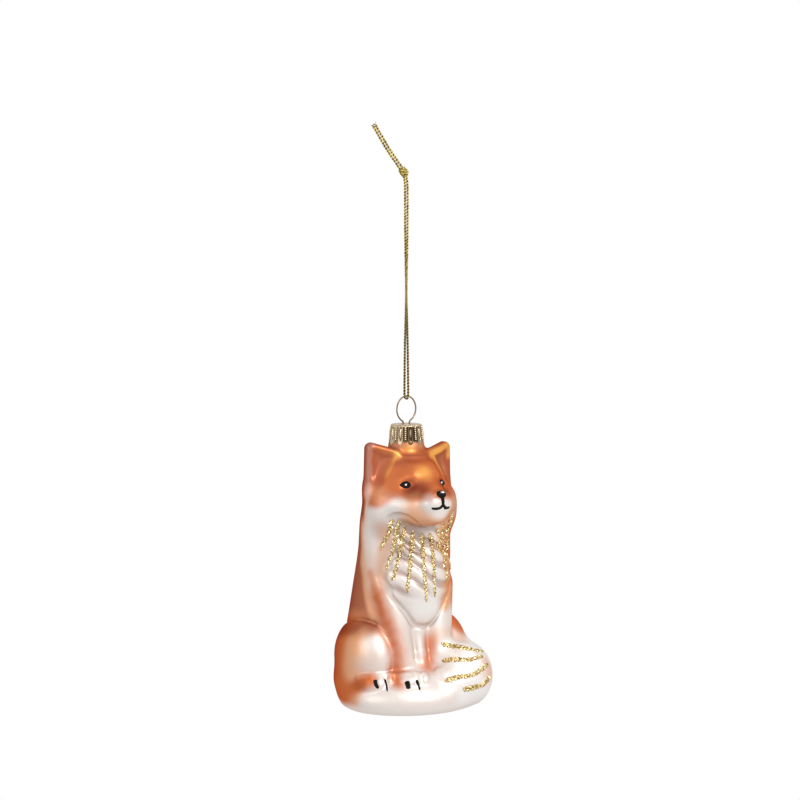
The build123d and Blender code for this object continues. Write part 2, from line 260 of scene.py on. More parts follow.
def profile(height, table, column):
    """Smooth value of one column of a table of sections at each height."""
    places = np.array([row[0] for row in table])
    values = np.array([row[column] for row in table])
    slopes = np.gradient(values, places)
    h = np.clip(height, places[0], places[-1])
    i = np.clip(np.searchsorted(places, h) - 1, 0, len(places) - 2)
    gap = places[i + 1] - places[i]
    t = (h - places[i]) / gap
    low, high = values[i], values[i + 1]
    rise_low, rise_high = slopes[i] * gap, slopes[i + 1] * gap
    mixed = low + t * rise_low + t * t * (3 * (high - low) - 2 * rise_low - rise_high)
    return (mixed + t**3 * (2 * (low - high) + rise_low + rise_high)).astype(np.float32)


def oval_column(p, table, centre_x=0.0, centre_y=0.0, column=None):
    """Distance to an upright form with oval sections."""
    half_width, half_depth = profile(p[2], table, 1), profile(p[2], table, 2)
    x = p[0] - centre_x
    y = p[1] - (centre_y if column is None else profile(p[2], table, column))
    near = np.sqrt((x / half_width) ** 2 + (y / half_depth) ** 2) + 1e-6
    slope = np.sqrt((x / half_width**2) ** 2 + (y / half_depth**2) ** 2) + 1e-6
    side = near * (near - 1.0) / slope
    low, high = table[0][0], table[-1][0]
    return np.maximum(side, np.maximum(low - p[2], p[2] - high))


def turned(p, angle):
    """Points turned about the upright axis by an angle in degrees."""
    c, s = math.cos(math.radians(angle)), math.sin(math.radians(angle))
    return np.stack([c * p[0] - s * p[1], s * p[0] + c * p[1], p[2]])


def axes_from(up, forward):
    """Rows of a turned frame: across, forward and up."""
    up = Vector(up).normalized()
    across = Vector(forward).cross(up).normalized()
    return [tuple(across), tuple(up.cross(across)), tuple(up)]


def on_face(p, settings):
    """Points seen from the head's own middle, facing its own front."""
    q = p - np.float32(HEAD_CENTRE)[:, None]
    return turned(q, math.degrees(settings.head_turn))


def corner_gap(u, w, corners):
    """Distance to the edge of a three-cornered outline, negative inside."""
    inside = None
    nearest = None
    for (au, aw), (bu, bw) in zip(corners, corners[1:] + corners[:1]):
        eu, ew = bu - au, bw - aw
        size = math.hypot(eu, ew)
        t = np.clip(((u - au) * eu + (w - aw) * ew) / size**2, 0.0, 1.0)
        away = np.hypot(u - au - eu * t, w - aw - ew * t)
        side = ((w - aw) * eu - (u - au) * ew) / size
        nearest = away if nearest is None else np.minimum(nearest, away)
        inside = side if inside is None else np.maximum(inside, side)
    return np.where(inside < 0, -nearest, nearest)


def ear_plane(q, side):
    """Places along, above and in front of one ear's own plane."""
    x, y = side * q[0] - EAR_PLACE[0], q[1] - EAR_PLACE[1]
    c, s = math.cos(EAR_SPREAD), math.sin(EAR_SPREAD)
    return c * x + s * y, q[2] - EAR_RISE[side], s * x - c * y


def ear(q, side):
    """Distance to one ear, a thick plate with three rounded corners."""
    u, w, depth = ear_plane(q, side)
    flat = corner_gap(u, w, EAR_CORNERS)
    thick = np.abs(depth + EAR_BOW * (u + EAR_BOW_PLACE) ** 2) - EAR_HALF_THICKNESS
    outer = np.hypot(np.maximum(flat, 0.0), np.maximum(thick, 0.0))
    return outer + np.minimum(np.maximum(flat, thick), 0.0) - EAR_ROUNDING


def ear_dish(q, side):
    """Distance to the soft hollow in the front of one ear."""
    u, w, depth = ear_plane(q, side)
    flat = corner_gap(u, w, DISH_CORNERS) - DISH_ROUNDING
    rise = np.maximum(flat + DISH_REACH, 0.0) / DISH_REACH
    floor = DISH_FLOOR + DISH_RISE * rise**2 - EAR_BOW * (u + EAR_BOW_PLACE) ** 2
    return DISH_STEEPNESS * (floor - depth)


def line_gap(p, points, both_sides=False):
    """Distance to a line of points, or to it and its mirror image."""
    near = np.stack([-np.abs(p[0]), p[1], p[2]]) if both_sides else p
    return np.min([limb(near, a, b, 0.0, 0.0) for a, b in zip(points, points[1:])], axis=0)


def other_side(place, side):
    """A place given for the fox's left, on either side."""
    return (side * place[0], place[1], place[2])


def joined(form, p, rows, sides=(1,)):
    """Distance to a form with rows of rounded forms joined to it."""
    for side in sides:
        for middle, radii, reach in rows:
            form = soft_join(form, egg(p, other_side(middle, side), radii), reach)
    return form


def head_form(p, settings):
    """Distance to the head with its muzzle, cheeks, brow and ears."""
    q = on_face(p, settings)
    head = soft_join(egg(q, SKULL, HEAD_RADII), limb(q, *CROWN), CROWN_JOIN)
    head = joined(head, q, CHEEKS_AND_BROW, BOTH)
    middle, radii, reach = BRIDGE
    head = soft_join(head, egg(q, middle, radii, axes_from(BRIDGE_UP, AHEAD)), reach)
    middle, radii, reach = EYE_SOCKET
    for side in BOTH:
        head = soft_cut(head, egg(q, other_side(middle, side), radii), reach)
    middle, radii, reach = MUZZLE
    muzzle = joined(egg(q, middle, radii), q, LIP_PAD, BOTH)
    head = soft_join(head, joined(muzzle, q, JAW_AND_CHIN), reach)
    head = joined(head, q, NOSE_TIP)
    head = soft_cut(head, line_gap(q, JAW_FOLD, True) - JAW_FOLD_WIDTH, JAW_FOLD_REACH)
    for side in BOTH:
        head = soft_join(head, ear(q, side), EAR_JOIN)
        head = soft_cut(head, ear_dish(q, side), DISH_JOIN)
    return head


def toes(p, centre, angle):
    """Distance to the three toes of one paw, which points at an angle from the front."""
    forward = (math.sin(angle), -math.cos(angle))
    across = (math.cos(angle), math.sin(angle))
    axes = [(across[0], across[1], 0.0), (forward[0], forward[1], 0.0), (0.0, 0.0, 1.0)]
    found = None
    for place in (-1, 0, 1):
        shift = TOE_SPACING * place
        back = -TOE_STEP_BACK * abs(place)
        x = centre[0] + across[0] * shift + forward[0] * back
        y = centre[1] + across[1] * shift + forward[1] * back
        toe = egg(p, (x, y, centre[2]), TOE_RADII, axes)
        found = toe if found is None else soft_join(found, toe, TOE_JOIN)
    return found


def tail_form(p):
    """Distance to the tail that curls round the feet."""
    tail = None
    for (start, start_radius), (end, end_radius) in zip(TAIL, TAIL[1:]):
        piece = limb(p, start, end, start_radius, end_radius)
        tail = piece if tail is None else soft_join(tail, piece, TAIL_BEND_JOIN)
    return tail


def fox_form(p, settings):
    """Distance to the whole blown fox, with the neck that the cap sits on."""
    body = oval_column(p, TORSO, column=3)
    middle, radii = HAUNCH
    for side in BOTH:
        body = creased(body, egg(p, other_side(middle, side), radii), *HAUNCH_CREASE)
        body = joined(body, p, HAUNCH_REAR, (side,))
    body = joined(body, p, BELLY)
    for start, end, start_radius, end_radius, reach in LEGS:
        body = soft_join(body, limb(p, start, end, start_radius, end_radius), reach)
    body = soft_join(body, oval_column(p, PAD, *PAD_CENTRE), PAD_JOIN)
    for side in BOTH:
        for middle, radii, toe_middle, reach in PAWS:
            paw = egg(p, other_side(middle, side), radii)
            paw = soft_join(paw, toes(p, other_side(toe_middle, side), side * PAW_TURN), TOES_JOIN)
            body = soft_join(body, paw, reach)
    body = soft_join(body, line_gap(p, FOOT_LEDGE) - LEDGE_RADIUS, LEDGE_JOIN)
    body = soft_join(body, tail_form(p), TAIL_JOIN)
    body = creased(body, joined(egg(p, *BIB), p, BIB_POINT), *BIB_CREASE)
    body = -soft_join(-body, p[2], BASE_ROUNDING)
    body = soft_join(body, head_form(p, settings), HEAD_JOIN)
    body = body - fur_relief(p, settings)
    neck = np.maximum(np.sqrt(p[0] ** 2 + p[1] ** 2) - NECK_RADIUS, p[2] - NECK_TOP)
    body = soft_join(body, np.maximum(neck, NECK_START - p[2]), NECK_JOIN)
    return soft_cut(body, limb(p, *BORE), BORE_ROUNDING)


def fade(low, high, value):
    """Smooth step from 0 at low to 1 at high."""
    t = np.clip((value - low) / (high - low), 0.0, 1.0)
    return t * t * (3.0 - 2.0 * t)


def fur_relief(p, settings):
    """Height of the slanting rows of fur on the chest."""
    depth = settings.fur_depth / MM
    wave = FUR_WAVE * np.sin(FUR_WAVE_TURNS[0] * p[0] + FUR_WAVE_TURNS[1] * p[2])
    side = p[0] - FUR_TURN
    rise = 0.5 * (np.sqrt(side**2 + FUR_TURN_SOFTNESS) - side)
    turn = 2.0 * math.pi * (p[2] - FUR_SLANT * rise + wave - FUR_START) / FUR_ROW
    rows = 0.5 - 0.5 * np.cos(turn + FUR_LEAN * np.sin(turn))
    place = fade(*FUR_FRONT, p[1]) * fade(*FUR_SIDES, np.abs(p[0] - FUR_MIDDLE))
    place = place * fade(*FUR_FOOT, p[2]) * fade(*FUR_TOP, p[2])
    return depth * place * (rows - FUR_LEVEL)


def skin(values, origin, pitch):
    """Mesh of quads on the zero level of a grid of distances."""
    inside = values < 0
    shape = tuple(n - 1 for n in values.shape)

    def corner(grid, place):
        return grid[tuple(slice(o, o + n) for o, n in zip(place, shape))]

    places = [(i, j, k) for i in (0, 1) for j in (0, 1) for k in (0, 1)]
    count = sum(corner(inside, c).astype(np.int8) for c in places)
    live = (count > 0) & (count < 8)
    cells = np.argwhere(live)
    index = np.full(shape, -1, np.int64)
    index[live] = np.arange(len(cells))
    total = np.zeros((len(cells), 3))
    number = np.zeros(len(cells))
    for axis in range(3):
        for start in places:
            if start[axis]:
                continue
            end = list(start)
            end[axis] = 1
            a, b = corner(values, start)[live], corner(values, end)[live]
            crosses = (a < 0) != (b < 0)
            t = np.where(crosses, a / np.where(crosses, a - b, 1.0), 0.0)
            point = np.tile(np.array(start, float), (len(cells), 1))
            point[:, axis] += t
            total += point * crosses[:, None]
            number += crosses
    points = (cells + total / number[:, None]) * pitch + origin
    faces = []
    for axis in range(3):
        b, c = (axis + 1) % 3, (axis + 2) % 3
        head, tail = [slice(None)] * 3, [slice(None)] * 3
        head[axis], tail[axis] = slice(0, -1), slice(1, None)
        crossing = inside[tuple(head)] != inside[tuple(tail)]
        edges = np.argwhere(crossing)
        edges = edges[(edges[:, b] > 0) & (edges[:, c] > 0)]
        edges = edges[(edges[:, b] < shape[b]) & (edges[:, c] < shape[c])]
        ring = []
        for db, dc in ((1, 1), (0, 1), (0, 0), (1, 0)):
            cell = edges.copy()
            cell[:, b] -= db
            cell[:, c] -= dc
            ring.append(index[tuple(cell.T)])
        quads = np.stack(ring, 1)
        outward = inside[tuple(edges.T)]
        quads[~outward] = quads[~outward][:, ::-1]
        faces.append(quads)
    return points, np.concatenate(faces)


def slope_of(form, points):
    """Distance and its slope at each point."""
    h = 0.12
    p = points.T.astype(np.float32)
    value = form(p)
    slope = np.empty_like(p)
    for axis in range(3):
        nudge = np.zeros((3, 1), np.float32)
        nudge[axis] = h
        slope[axis] = (form(p + nudge) - form(p - nudge)) / (2 * h)
    return value, slope.T


def even_out(points, faces, form, rounds=3):
    """Spaces the points evenly and puts them back on the form."""
    pairs = np.concatenate([faces[:, [i, (i + 1) % 4]] for i in range(4)])
    number = np.bincount(pairs[:, 0], minlength=len(points))[:, None]
    for _ in range(rounds):
        middle = np.stack(
            [np.bincount(pairs[:, 0], points[pairs[:, 1], k], len(points)) for k in range(3)], 1
        ) / number
        points = points + 0.6 * (middle - points)
        value, slope = slope_of(form, points)
        size = np.maximum((slope**2).sum(1), 0.15)
        points = points - slope * (np.clip(value, -0.8, 0.8) / size)[:, None]
    return points


def carve_fox(settings):
    """Points in millimetres and quads of the fox."""
    pitch = settings.pitch / MM * 1.0
    low = np.array([GLASS_LOW.x / MM, GLASS_LOW.y / MM, 0.0]) - 3.0
    high = np.array([GLASS_HIGH.x / MM, GLASS_HIGH.y / MM, NECK_TOP]) + 3.0
    counts = np.ceil((high - low) / pitch).astype(int)
    grid = np.stack(
        np.meshgrid(*[low[k] + pitch * np.arange(counts[k]) for k in range(3)], indexing="ij")
    ).astype(np.float32)

    def form(p):
        return fox_form(p, settings)

    values = form(grid.reshape(3, -1)).reshape(counts)
    points, faces = skin(values, low, pitch)
    return even_out(points, faces, form), faces


def mesh_object(name, points, faces, material, smooth=True):
    """New object at the origin with its place in its mesh."""
    mesh = bpy.data.meshes.new(name)
    mesh.from_pydata([tuple(p) for p in points], [], [tuple(f) for f in faces])
    mesh.validate()
    mesh.update()
    mesh.polygons.foreach_set("use_smooth", [smooth] * len(mesh.polygons))
    made = bpy.data.objects.new(name, mesh)
    bpy.context.scene.collection.objects.link(made)
    if material is not None:
        mesh.materials.append(material)
    return made


def new_material(name):
    """Empty node material with one surface shader."""
    material = bpy.data.materials.new(name)
    material.use_nodes = True
    nodes, links = material.node_tree.nodes, material.node_tree.links
    nodes.clear()
    output = nodes.new("ShaderNodeOutputMaterial")
    shader = nodes.new("ShaderNodeBsdfPrincipled")
    links.new(shader.outputs[0], output.inputs[0])
    return material, nodes, links, shader


def mottle(p, size, seed):
    """Slow unevenness from -1 to 1, the same each time."""
    q = p / size
    a = np.sin(1.7 * q[0] + 2.3 * np.sin(0.9 * q[1] + seed))
    b = np.sin(1.9 * q[1] + 2.1 * np.sin(1.1 * q[2] + 2.0 * seed))
    c = np.sin(2.1 * q[2] + 1.9 * np.sin(1.3 * q[0] + 3.0 * seed))
    return (a + b + c) / 3.0


def dab(p, centre, radii, soft=0.45):
    """Soft round patch of sprayed paint."""
    gap = (p - np.float32(centre)[:, None]) / np.float32(radii)[:, None]
    return fade(1.0 + soft, 1.0 - soft, np.sqrt((gap**2).sum(0)))


def streak(p, points, radius, soft=0.6):
    """Soft stripe of sprayed paint along a line."""
    return fade(1.0 + soft, 1.0 - soft, line_gap(p, points) / radius)


# Sprays in the order they are laid on: colour, strength, softness, and the middle and radii of a
# round dab or the points and half width of a stripe. Those of the face are for the fox's left.
# Chest: painted shade in purplish grey and grey-brown under the cheek and down the chest's edge, then white
# low on the bib.
CHEST_SPRAYS = [
    ("mauve_shade", 0.75, 0.9, [(-15.3, -8.8, 70), (-12.0, -10.6, 64), (-7.0, -13.4, 62)], 4.6),
    ("mauve_shade", 0.7, 0.7, (-6.5, -13.0, 70.0), (6.0, 5.0, 6.0)),
    ("painted_shade", 0.6, 0.8, (-6.5, -13.0, 71.4), (5.6, 5.0, 3.0)),
    ("mauve_shade", 0.55, 0.9, [(-15.6, -7.6, 62), (-16.0, -6.6, 54), (-15.6, -8.0, 48)], 2.2),
    ("snow_and_highlight", 0.8, 0.7, (-0.5, -15.0, 40.0), (9.0, 7.0, 6.0)),
]
TRUNK_SPRAYS = [("tan", 0.5, 0.95, [(-15.0, -8.0, 70), (-16.0, -8.0, 58), (-17.0, -6.4, 46)], 2.4)]
TAIL_SPRAYS = [("tan", 0.55, 0.7, (22.4, -23.6, 16.0), (4.6, 4.0, 5.6))]
FAR_HAUNCH_SPRAYS = [("fox_orange", 0.95, 0.5, (20.5, -3.0, 31.0), (6.0, 9.0, 4.6))]
HAUNCH_TOP = [(-22.1, 9.0, 30.2), (-21.6, 0.5, 31.4), (-19.2, -1.4, 32.8), (-18.0, -3.8, 32.0)]
FOOT_STRIPE = [(-26.0, 4.0, 7.0), (-25.4, -1.4, 9.6), (-24.9, -6.3, 11.8), (-23.0, -10.3, 13.6)]
# Haunch and foot: painted shade in dark brown along the crease over the haunch, in grey low on its front and
# in grey-brown between the legs, a painted highlight in white on its front, and tan, orange and dark brown
# lacquer.
HAUNCH_SPRAYS = [
    ("umber_and_shade", 0.85, 0.95, HAUNCH_TOP, 2.9),
    ("tan", 0.6, 0.8, (-25.2, -3.4, 20.0), (3.6, 4.0, 7.0)),
    ("tan", 0.45, 0.8, (-22.6, -5.0, 20.0), (6.0, 6.0, 9.0)),
    ("snow_and_highlight", 0.7, 0.7, (-19.6, -6.4, 26.4), (3.6, 3.8, 3.6)),
    ("silver_and_grey_shade", 0.45, 0.8, (-21.4, -6.0, 19.0), (4.6, 4.6, 4.0)),
    ("painted_shade", 0.35, 0.8, (-0.2, -9.6, 22.0), (2.0, 3.4, 6.0)),
    ("fox_orange", 1.0, 0.8, FOOT_STRIPE, 2.7),
    ("umber_and_shade", 0.4, 0.9, FOOT_STRIPE[:3], 2.0),
    ("fox_orange", 0.95, 0.6, (-24.0, 6.0, 7.0), (7.0, 9.0, 5.5)),
]
SHOULDER_SPRAYS = [("fox_orange", 0.55, 0.95, [(-17.7, -2.2, 53.0), (-17.4, -5.5, 44.0)], 1.5)]
LEG_STRIPE = [
    (-17.4, -5.5, 44.0),
    (-15.2, -7.6, 37.0),
    (-13.2, -9.4, 31.0),
    (-11.8, -10.6, 24.0),
    (-11.2, -11.4, 16.0),
]
LEG_STRIPE_SIZE = (3.2, 0.95)
LEG_SPRAYS = [
    ("umber_and_shade", 0.25, 0.95, LEG_STRIPE, 1.2),
    ("fox_orange", 0.85, 0.9, [(3.7, -11.2, 26.0), (2.6, -11.4, 20.0), (0.0, -14.1, 16.8)], 2.8),
    ("tan", 0.85, 0.95, [(13.0, -9.6, 45.0), (10.2, -12.0, 40.0)], 2.2),
    ("fox_orange", 0.95, 0.8, [(-13.7, -13.2, 14.4), (-14.0, -15.4, 11.6)], 2.4),
    ("tan", 0.5, 0.95, [(6.0, -11.0, 29.0), (12.0, -11.0, 29.0), (18.0, -11.0, 26.0)], 2.4),
]
# A painted highlight in pale pink down the side of the head and neck.
SIDE_STRIP = [(-18.0, -2.2, 93), (-18.4, -1.8, 86), (-18.3, -1.5, 80), (-17.9, -0.6, 74), (-18.0, 0.0, 66)]
SIDE_SPRAYS = [("blush_and_highlight", 0.65, 0.9, SIDE_STRIP, 1.5)]
CHEEK_SPRAYS = [("tan", 0.55, 0.8, (-16.4, -7.2, -2.6), (3.0, 4.0, 3.4))]
# Face: dark brown lacquer beside the bridge, painted grey shade low on the cheek, and tan round the muzzle
# and chin.
FACE_SPRAYS = [
    ("fox_brown", 0.95, 0.6, (5.4, -17.2, -1.4), (5.6, 5.4, 3.4)),
    ("umber_and_shade", 0.8, 0.7, (5.8, -19.0, -1.7), (4.0, 4.4, 2.4)),
    ("silver_and_grey_shade", 0.4, 0.7, (12.4, -11.6, -8.6), (6.0, 6.0, 4.6)),
    ("tan", 1.0, 0.7, (6.4, -17.4, -9.0), (4.2, 5.0, 5.4)),
    ("tan", 0.8, 0.7, (3.0, -20.8, -12.4), (5.0, 5.2, 3.4)),
]
# A painted highlight in yellow on the brow, the white muzzle, and painted grey shade on the muzzle's side.
MUZZLE_SPRAYS = [
    ("golden_highlight", 0.7, 0.9, (-1.4, -15.4, 5.0), (2.4, 3.2, 3.2)),
    ("pearl", 1.0, 0.45, (0.2, -24.0, -7.0), (4.4, 4.6, 3.8)),
    ("silver_and_grey_shade", 0.6, 0.8, (-4.4, -25.0, -5.2), (2.6, 2.8, 2.8)),
]
# Tan on the collar and a painted highlight in yellow on its front.
COLLAR_SPRAYS = [
    ("tan", 0.5, 0.5, (0.0, 0.0, 101.0), (10.0, 10.0, 1.8)),
    ("golden_highlight", 0.5, 0.8, (-3.4, -7.0, 99.4), (3.0, 2.6, 1.3)),
]
# Bands of lacquer: colour, strength, and where each starts and is full, in degrees or millimetres.
FLANK_BANDS = [("tan", 0.5, 40.0, 16.0)]
BACK_BANDS = [("tan", 0.8, 16.0, 4.0), ("fox_brown", 0.82, 6.0, -2.0), ("fox_brown", 0.7, -14.0, -40.0)]
CHEST_SIDE_BANDS = [("tan", 0.9, 10.0, 27.0), ("fox_orange", 0.9, 24.0, 42.0)]
FAR_SIDE_BANDS = [("fox_orange", 1.0, 44.0, 60.0), ("fox_brown", 0.8, 76.0, 108.0)]
HAUNCH_BANDS = [("tan", 0.9, -60.0, -78.0), ("fox_orange", 1.0, -76.0, -95.0)]
FAR_HAUNCH_BANDS = [("fox_orange", 1.0, -8.0, 9.0)]
LOW_BACK_BANDS = [("fox_brown", 0.8, 4.0, 16.0)]
HEAD_BACK_BANDS = [("fox_brown", 0.85, 0.2, 2.6)]
# The edge of the brown back: its turn at a height, its lean and its limits, in degrees.
BACK_EDGE_TURN = -101.0
BACK_EDGE_HEIGHT = 66.0
BACK_EDGE_LEAN = 0.75
BACK_EDGE_LIMITS = (-93.0, -78.0)
# Height of the white cheek's edge by distance from the face's middle.
CHEEK_EDGE = ([0.0, 4.0, 10.0, 14.0, 17.0, 20.0], [-5.3, -5.1, -4.1, -5.1, -7.5, -9.0])
# Where a mask starts and where it is full.
CREASE_SHADE = (0.15, 0.75)
FUR_SHADE = (0.12, -0.5)
FOLD_SHADE = (1.6, 0.4)
FOLD_FOOT = (-24.0, -20.0)
TRUNK_FOOT = (22.0, 32.0)
TRUNK_TOP = (90.0, 80.0)
FLANK_TOP = (66.0, 50.0)
CHEST_FOOT = (36.0, 46.0)
TAIL_SIDE = (4.0, 10.0)
TAIL_TOP = (34.0, 24.0)
TAIL_BACK = (10.0, -5.0)
LOW_TOP = (40.0, 32.0)
FAR_TURN = (30.0, 60.0)
BASE_RIM = (5.0, 1.5)
BASE_FRONT = (14.0, 4.0)
HEAD_FOOT = (70.0, 77.0)
CHEEK_SOFTNESS = (-1.5, 1.5)
HEAD_SIDE = (0.0, 6.0)
CROWN_HEIGHT = (6.0, 9.0)
CROWN_FRONT = (-13.0, -9.0)
CROWN_SIDE = (15.0, 9.0)
EAR_FRONT = (-0.8, 1.0)
EAR_FOOT = (0.0, 3.0)
EAR_BACK = (0.0, -2.0)
EAR_BACK_FOOT = (-3.0, 2.0)
DISH_TAN = {-1: 0.7, 1: 0.3}
BACK_TURNS = (105.0, 135.0)
BACK_FOOT = (2.0, 7.0)
NECK_SIDE = (6.4, 5.9)
NECK_FOOT = (100.6, 101.6)
# Size and seed of each unevenness.
EDGE_MOTTLE = (3.4, 1.3)
TURN_MOTTLE = (7.0, 2.1)
PEARL_MOTTLE = (8.0, 0.4)
TAIL_MOTTLE = (5.0, 0.9)
LEG_MOTTLE = (1.6, 0.7)
CHEEK_MOTTLE = (4.0, 3.3)


def paint_fox(p, shade, settings, paint):
    """Sprayed colour at each point of the fox, with painted light and shade laid in it; shade is how deep in
    a crease it lies.
    """
    neck = fade(*NECK_SIDE, np.hypot(p[0], p[1])) * fade(*NECK_FOOT, p[2])
    p = p + 0.5 * mottle(p, *EDGE_MOTTLE)
    x, y, z = p
    q = on_face(p, settings)
    around = np.degrees(np.arctan2(x, 3.0 - y)) + 4.0 * mottle(p, *TURN_MOTTLE)
    ragged = y + 1.2 * mottle(p, *TAIL_MOTTLE)
    colour = np.tile(np.float32(paint.pearl), (p.shape[1], 1))

    def spray(mask, tint, strength=1.0):
        share = np.clip(mask * strength, 0.0, 1.0)[:, None]
        colour[:] = colour * (1.0 - share) + np.float32(tint) * share

    def lay_on(place, sprays, side=1):
        for name, strength, soft, where, size in sprays:
            if isinstance(where, list):
                mask = streak(place, where, size, soft)
            else:
                mask = dab(place, other_side(where, side), size, soft)
            spray(mask, getattr(paint, name), strength)

    def bands(mask, value, rows):
        for name, strength, start, full in rows:
            spray(mask * fade(start, full, value), getattr(paint, name), strength)

    spray(0.5 + 0.5 * mottle(p, *PEARL_MOTTLE), paint.blush_and_highlight, 0.35)
    # Painted shade: grey-brown darkening deep in the creases.
    spray(fade(*CREASE_SHADE, shade), paint.painted_shade, 0.65)

    # Chest: painted shade in purplish grey in the folds of the fur and under the cheek, and painted
    # grey-brown shade under the jaw fold.
    spray(fade(*FUR_SHADE, fur_relief(p, settings) / (settings.fur_depth / MM)), paint.mauve_shade, 0.85)
    lay_on(p, CHEST_SPRAYS)
    spray(fade(*FOLD_SHADE, line_gap(q, JAW_FOLD, True)) * fade(*FOLD_FOOT, q[2]), paint.painted_shade, 0.75)

    # Trunk: a red-brown back, thin tan beside it and orange on the fox's left.
    trunk = fade(*TRUNK_FOOT, z) * fade(*TRUNK_TOP, z)
    turn = np.clip(BACK_EDGE_TURN + BACK_EDGE_LEAN * (BACK_EDGE_HEIGHT - z), *BACK_EDGE_LIMITS)
    bands(trunk * fade(*FLANK_TOP, z), around - turn, FLANK_BANDS)
    bands(trunk, around - turn, BACK_BANDS)
    bands(trunk * fade(*CHEST_FOOT, z), around, CHEST_SIDE_BANDS)
    bands(trunk, around, FAR_SIDE_BANDS)
    lay_on(p, TRUNK_SPRAYS)

    # Tail.
    spray(fade(*TAIL_SIDE, x) * fade(*TAIL_TOP, z) * fade(*TAIL_BACK, ragged), paint.snow_and_highlight, 0.8)
    lay_on(p, TAIL_SPRAYS)

    # Haunches, feet and base.
    low = fade(*LOW_TOP, z)
    bands(low, around, HAUNCH_BANDS)
    bands(low * fade(*FAR_TURN, around), ragged, FAR_HAUNCH_BANDS)
    lay_on(p, FAR_HAUNCH_SPRAYS)
    bands(low, y, LOW_BACK_BANDS)
    lay_on(p, HAUNCH_SPRAYS)
    spray(fade(*BASE_RIM, z) * fade(*BASE_FRONT, y), paint.pearl, 0.9)

    # Front legs.
    lay_on(p, SHOULDER_SPRAYS)
    brushed = 0.9 + 0.1 * mottle(p, *LEG_MOTTLE)
    spray(streak(p, LEG_STRIPE, *LEG_STRIPE_SIZE) * brushed, paint.fox_orange)
    lay_on(p, LEG_SPRAYS)

    # Head.
    upper = fade(*HEAD_FOOT, z)
    edge = np.interp(np.abs(q[0]), *CHEEK_EDGE) - 0.5 * mottle(p, *CHEEK_MOTTLE)
    mask = np.maximum(fade(*CHEEK_SOFTNESS, q[2] - edge), fade(*HEAD_SIDE, y))
    spray(upper * mask, paint.fox_orange)
    lay_on(p, SIDE_SPRAYS)
    bands(upper, y, HEAD_BACK_BANDS)
    crown = fade(*CROWN_HEIGHT, q[2]) * fade(*CROWN_FRONT, y) * fade(*CROWN_SIDE, np.abs(q[0]))
    spray(crown, paint.fox_brown, 0.6)
    lay_on(q, CHEEK_SPRAYS)
    for side in BOTH:
        lay_on(q, FACE_SPRAYS, side)
        u, w, depth = ear_plane(q, side)
        gap = corner_gap(u, w, EAR_CORNERS)
        front = fade(*EAR_FRONT, depth) * fade(*EAR_FOOT, w)
        spray(front * fade(-0.5, -2.2, gap), paint.tan, DISH_TAN[side])
        if side > 0:
            # Painted shade in dark brown in the upper hollow of the far ear.
            spray(front * fade(0.5, -1.5, gap) * fade(5.0, 9.0, w), paint.umber_and_shade, 0.4)
        # Painted highlights in yellow along the ear's ridge and its upper rim.
        spray(front * fade(1.4, 0.2, np.abs(gap)) * fade(3.6, 0.0, u), paint.golden_highlight, 0.8)
        spray(front * fade(1.8, 0.5, np.abs(gap - 0.9)) * fade(7.5, 10.0, w), paint.golden_highlight, 0.6)
        if side < 0:
            # Painted highlight in pale pink along the near ear's outer rim.
            spray(front * fade(1.5, 0.4, np.abs(gap - 1.4)) * fade(3.4, 5.0, u), paint.blush_and_highlight, 0.9)
        spray(fade(*EAR_BACK, depth) * fade(*EAR_BACK_FOOT, w), paint.fox_brown, 0.8)
    lay_on(q, MUZZLE_SPRAYS)
    lay_on(p, COLLAR_SPRAYS)
    spray(fade(*BACK_TURNS, np.abs(around)) * fade(*BACK_FOOT, z), paint.fox_brown, 0.9)
    spray(neck, paint.silver_and_grey_shade)
    return colour


def tex_noise(nodes, links, scale, detail=2.0):
    """Fine noise that stays on the surface."""
    place = nodes.new("ShaderNodeTexCoord")
    noise = nodes.new("ShaderNodeTexNoise")
    noise.inputs["Scale"].default_value = scale
    noise.inputs["Detail"].default_value = detail
    links.new(place.outputs["Object"], noise.inputs["Vector"])
    return noise.outputs["Fac"]


def spread(nodes, links, value, low, high, start=0.3, end=0.7):
    """Range from low to high over a texture's value."""
    band = nodes.new("ShaderNodeMapRange")
    band.inputs["From Min"].default_value = start
    band.inputs["From Max"].default_value = end
    band.inputs["To Min"].default_value = low
    band.inputs["To Max"].default_value = high
    links.new(value, band.inputs["Value"])
    return band.outputs["Result"]


def ramp(nodes, links, value, stops):
    """Colour along a list of (place, colour)."""
    scale = nodes.new("ShaderNodeValToRGB")
    bar = scale.color_ramp.elements
    while len(bar) < len(stops):
        bar.new(0.5)
    for item, (place, colour) in zip(bar, stops):
        item.position = place
        item.color = (*colour, 1.0)
    links.new(value, scale.inputs["Fac"])
    return scale.outputs["Color"]


def bump(nodes, links, shader, value, strength, distance):
    """Small relief from a texture's value."""
    relief = nodes.new("ShaderNodeBump")
    relief.inputs["Strength"].default_value = strength
    relief.inputs["Distance"].default_value = distance
    links.new(value, relief.inputs["Height"])
    links.new(relief.outputs["Normal"], shader.inputs["Normal"])


def attribute(nodes, name, output="Fac"):
    """Value that the mesh carries at its points."""
    node = nodes.new("ShaderNodeAttribute")
    node.attribute_name = name
    return node.outputs[output]


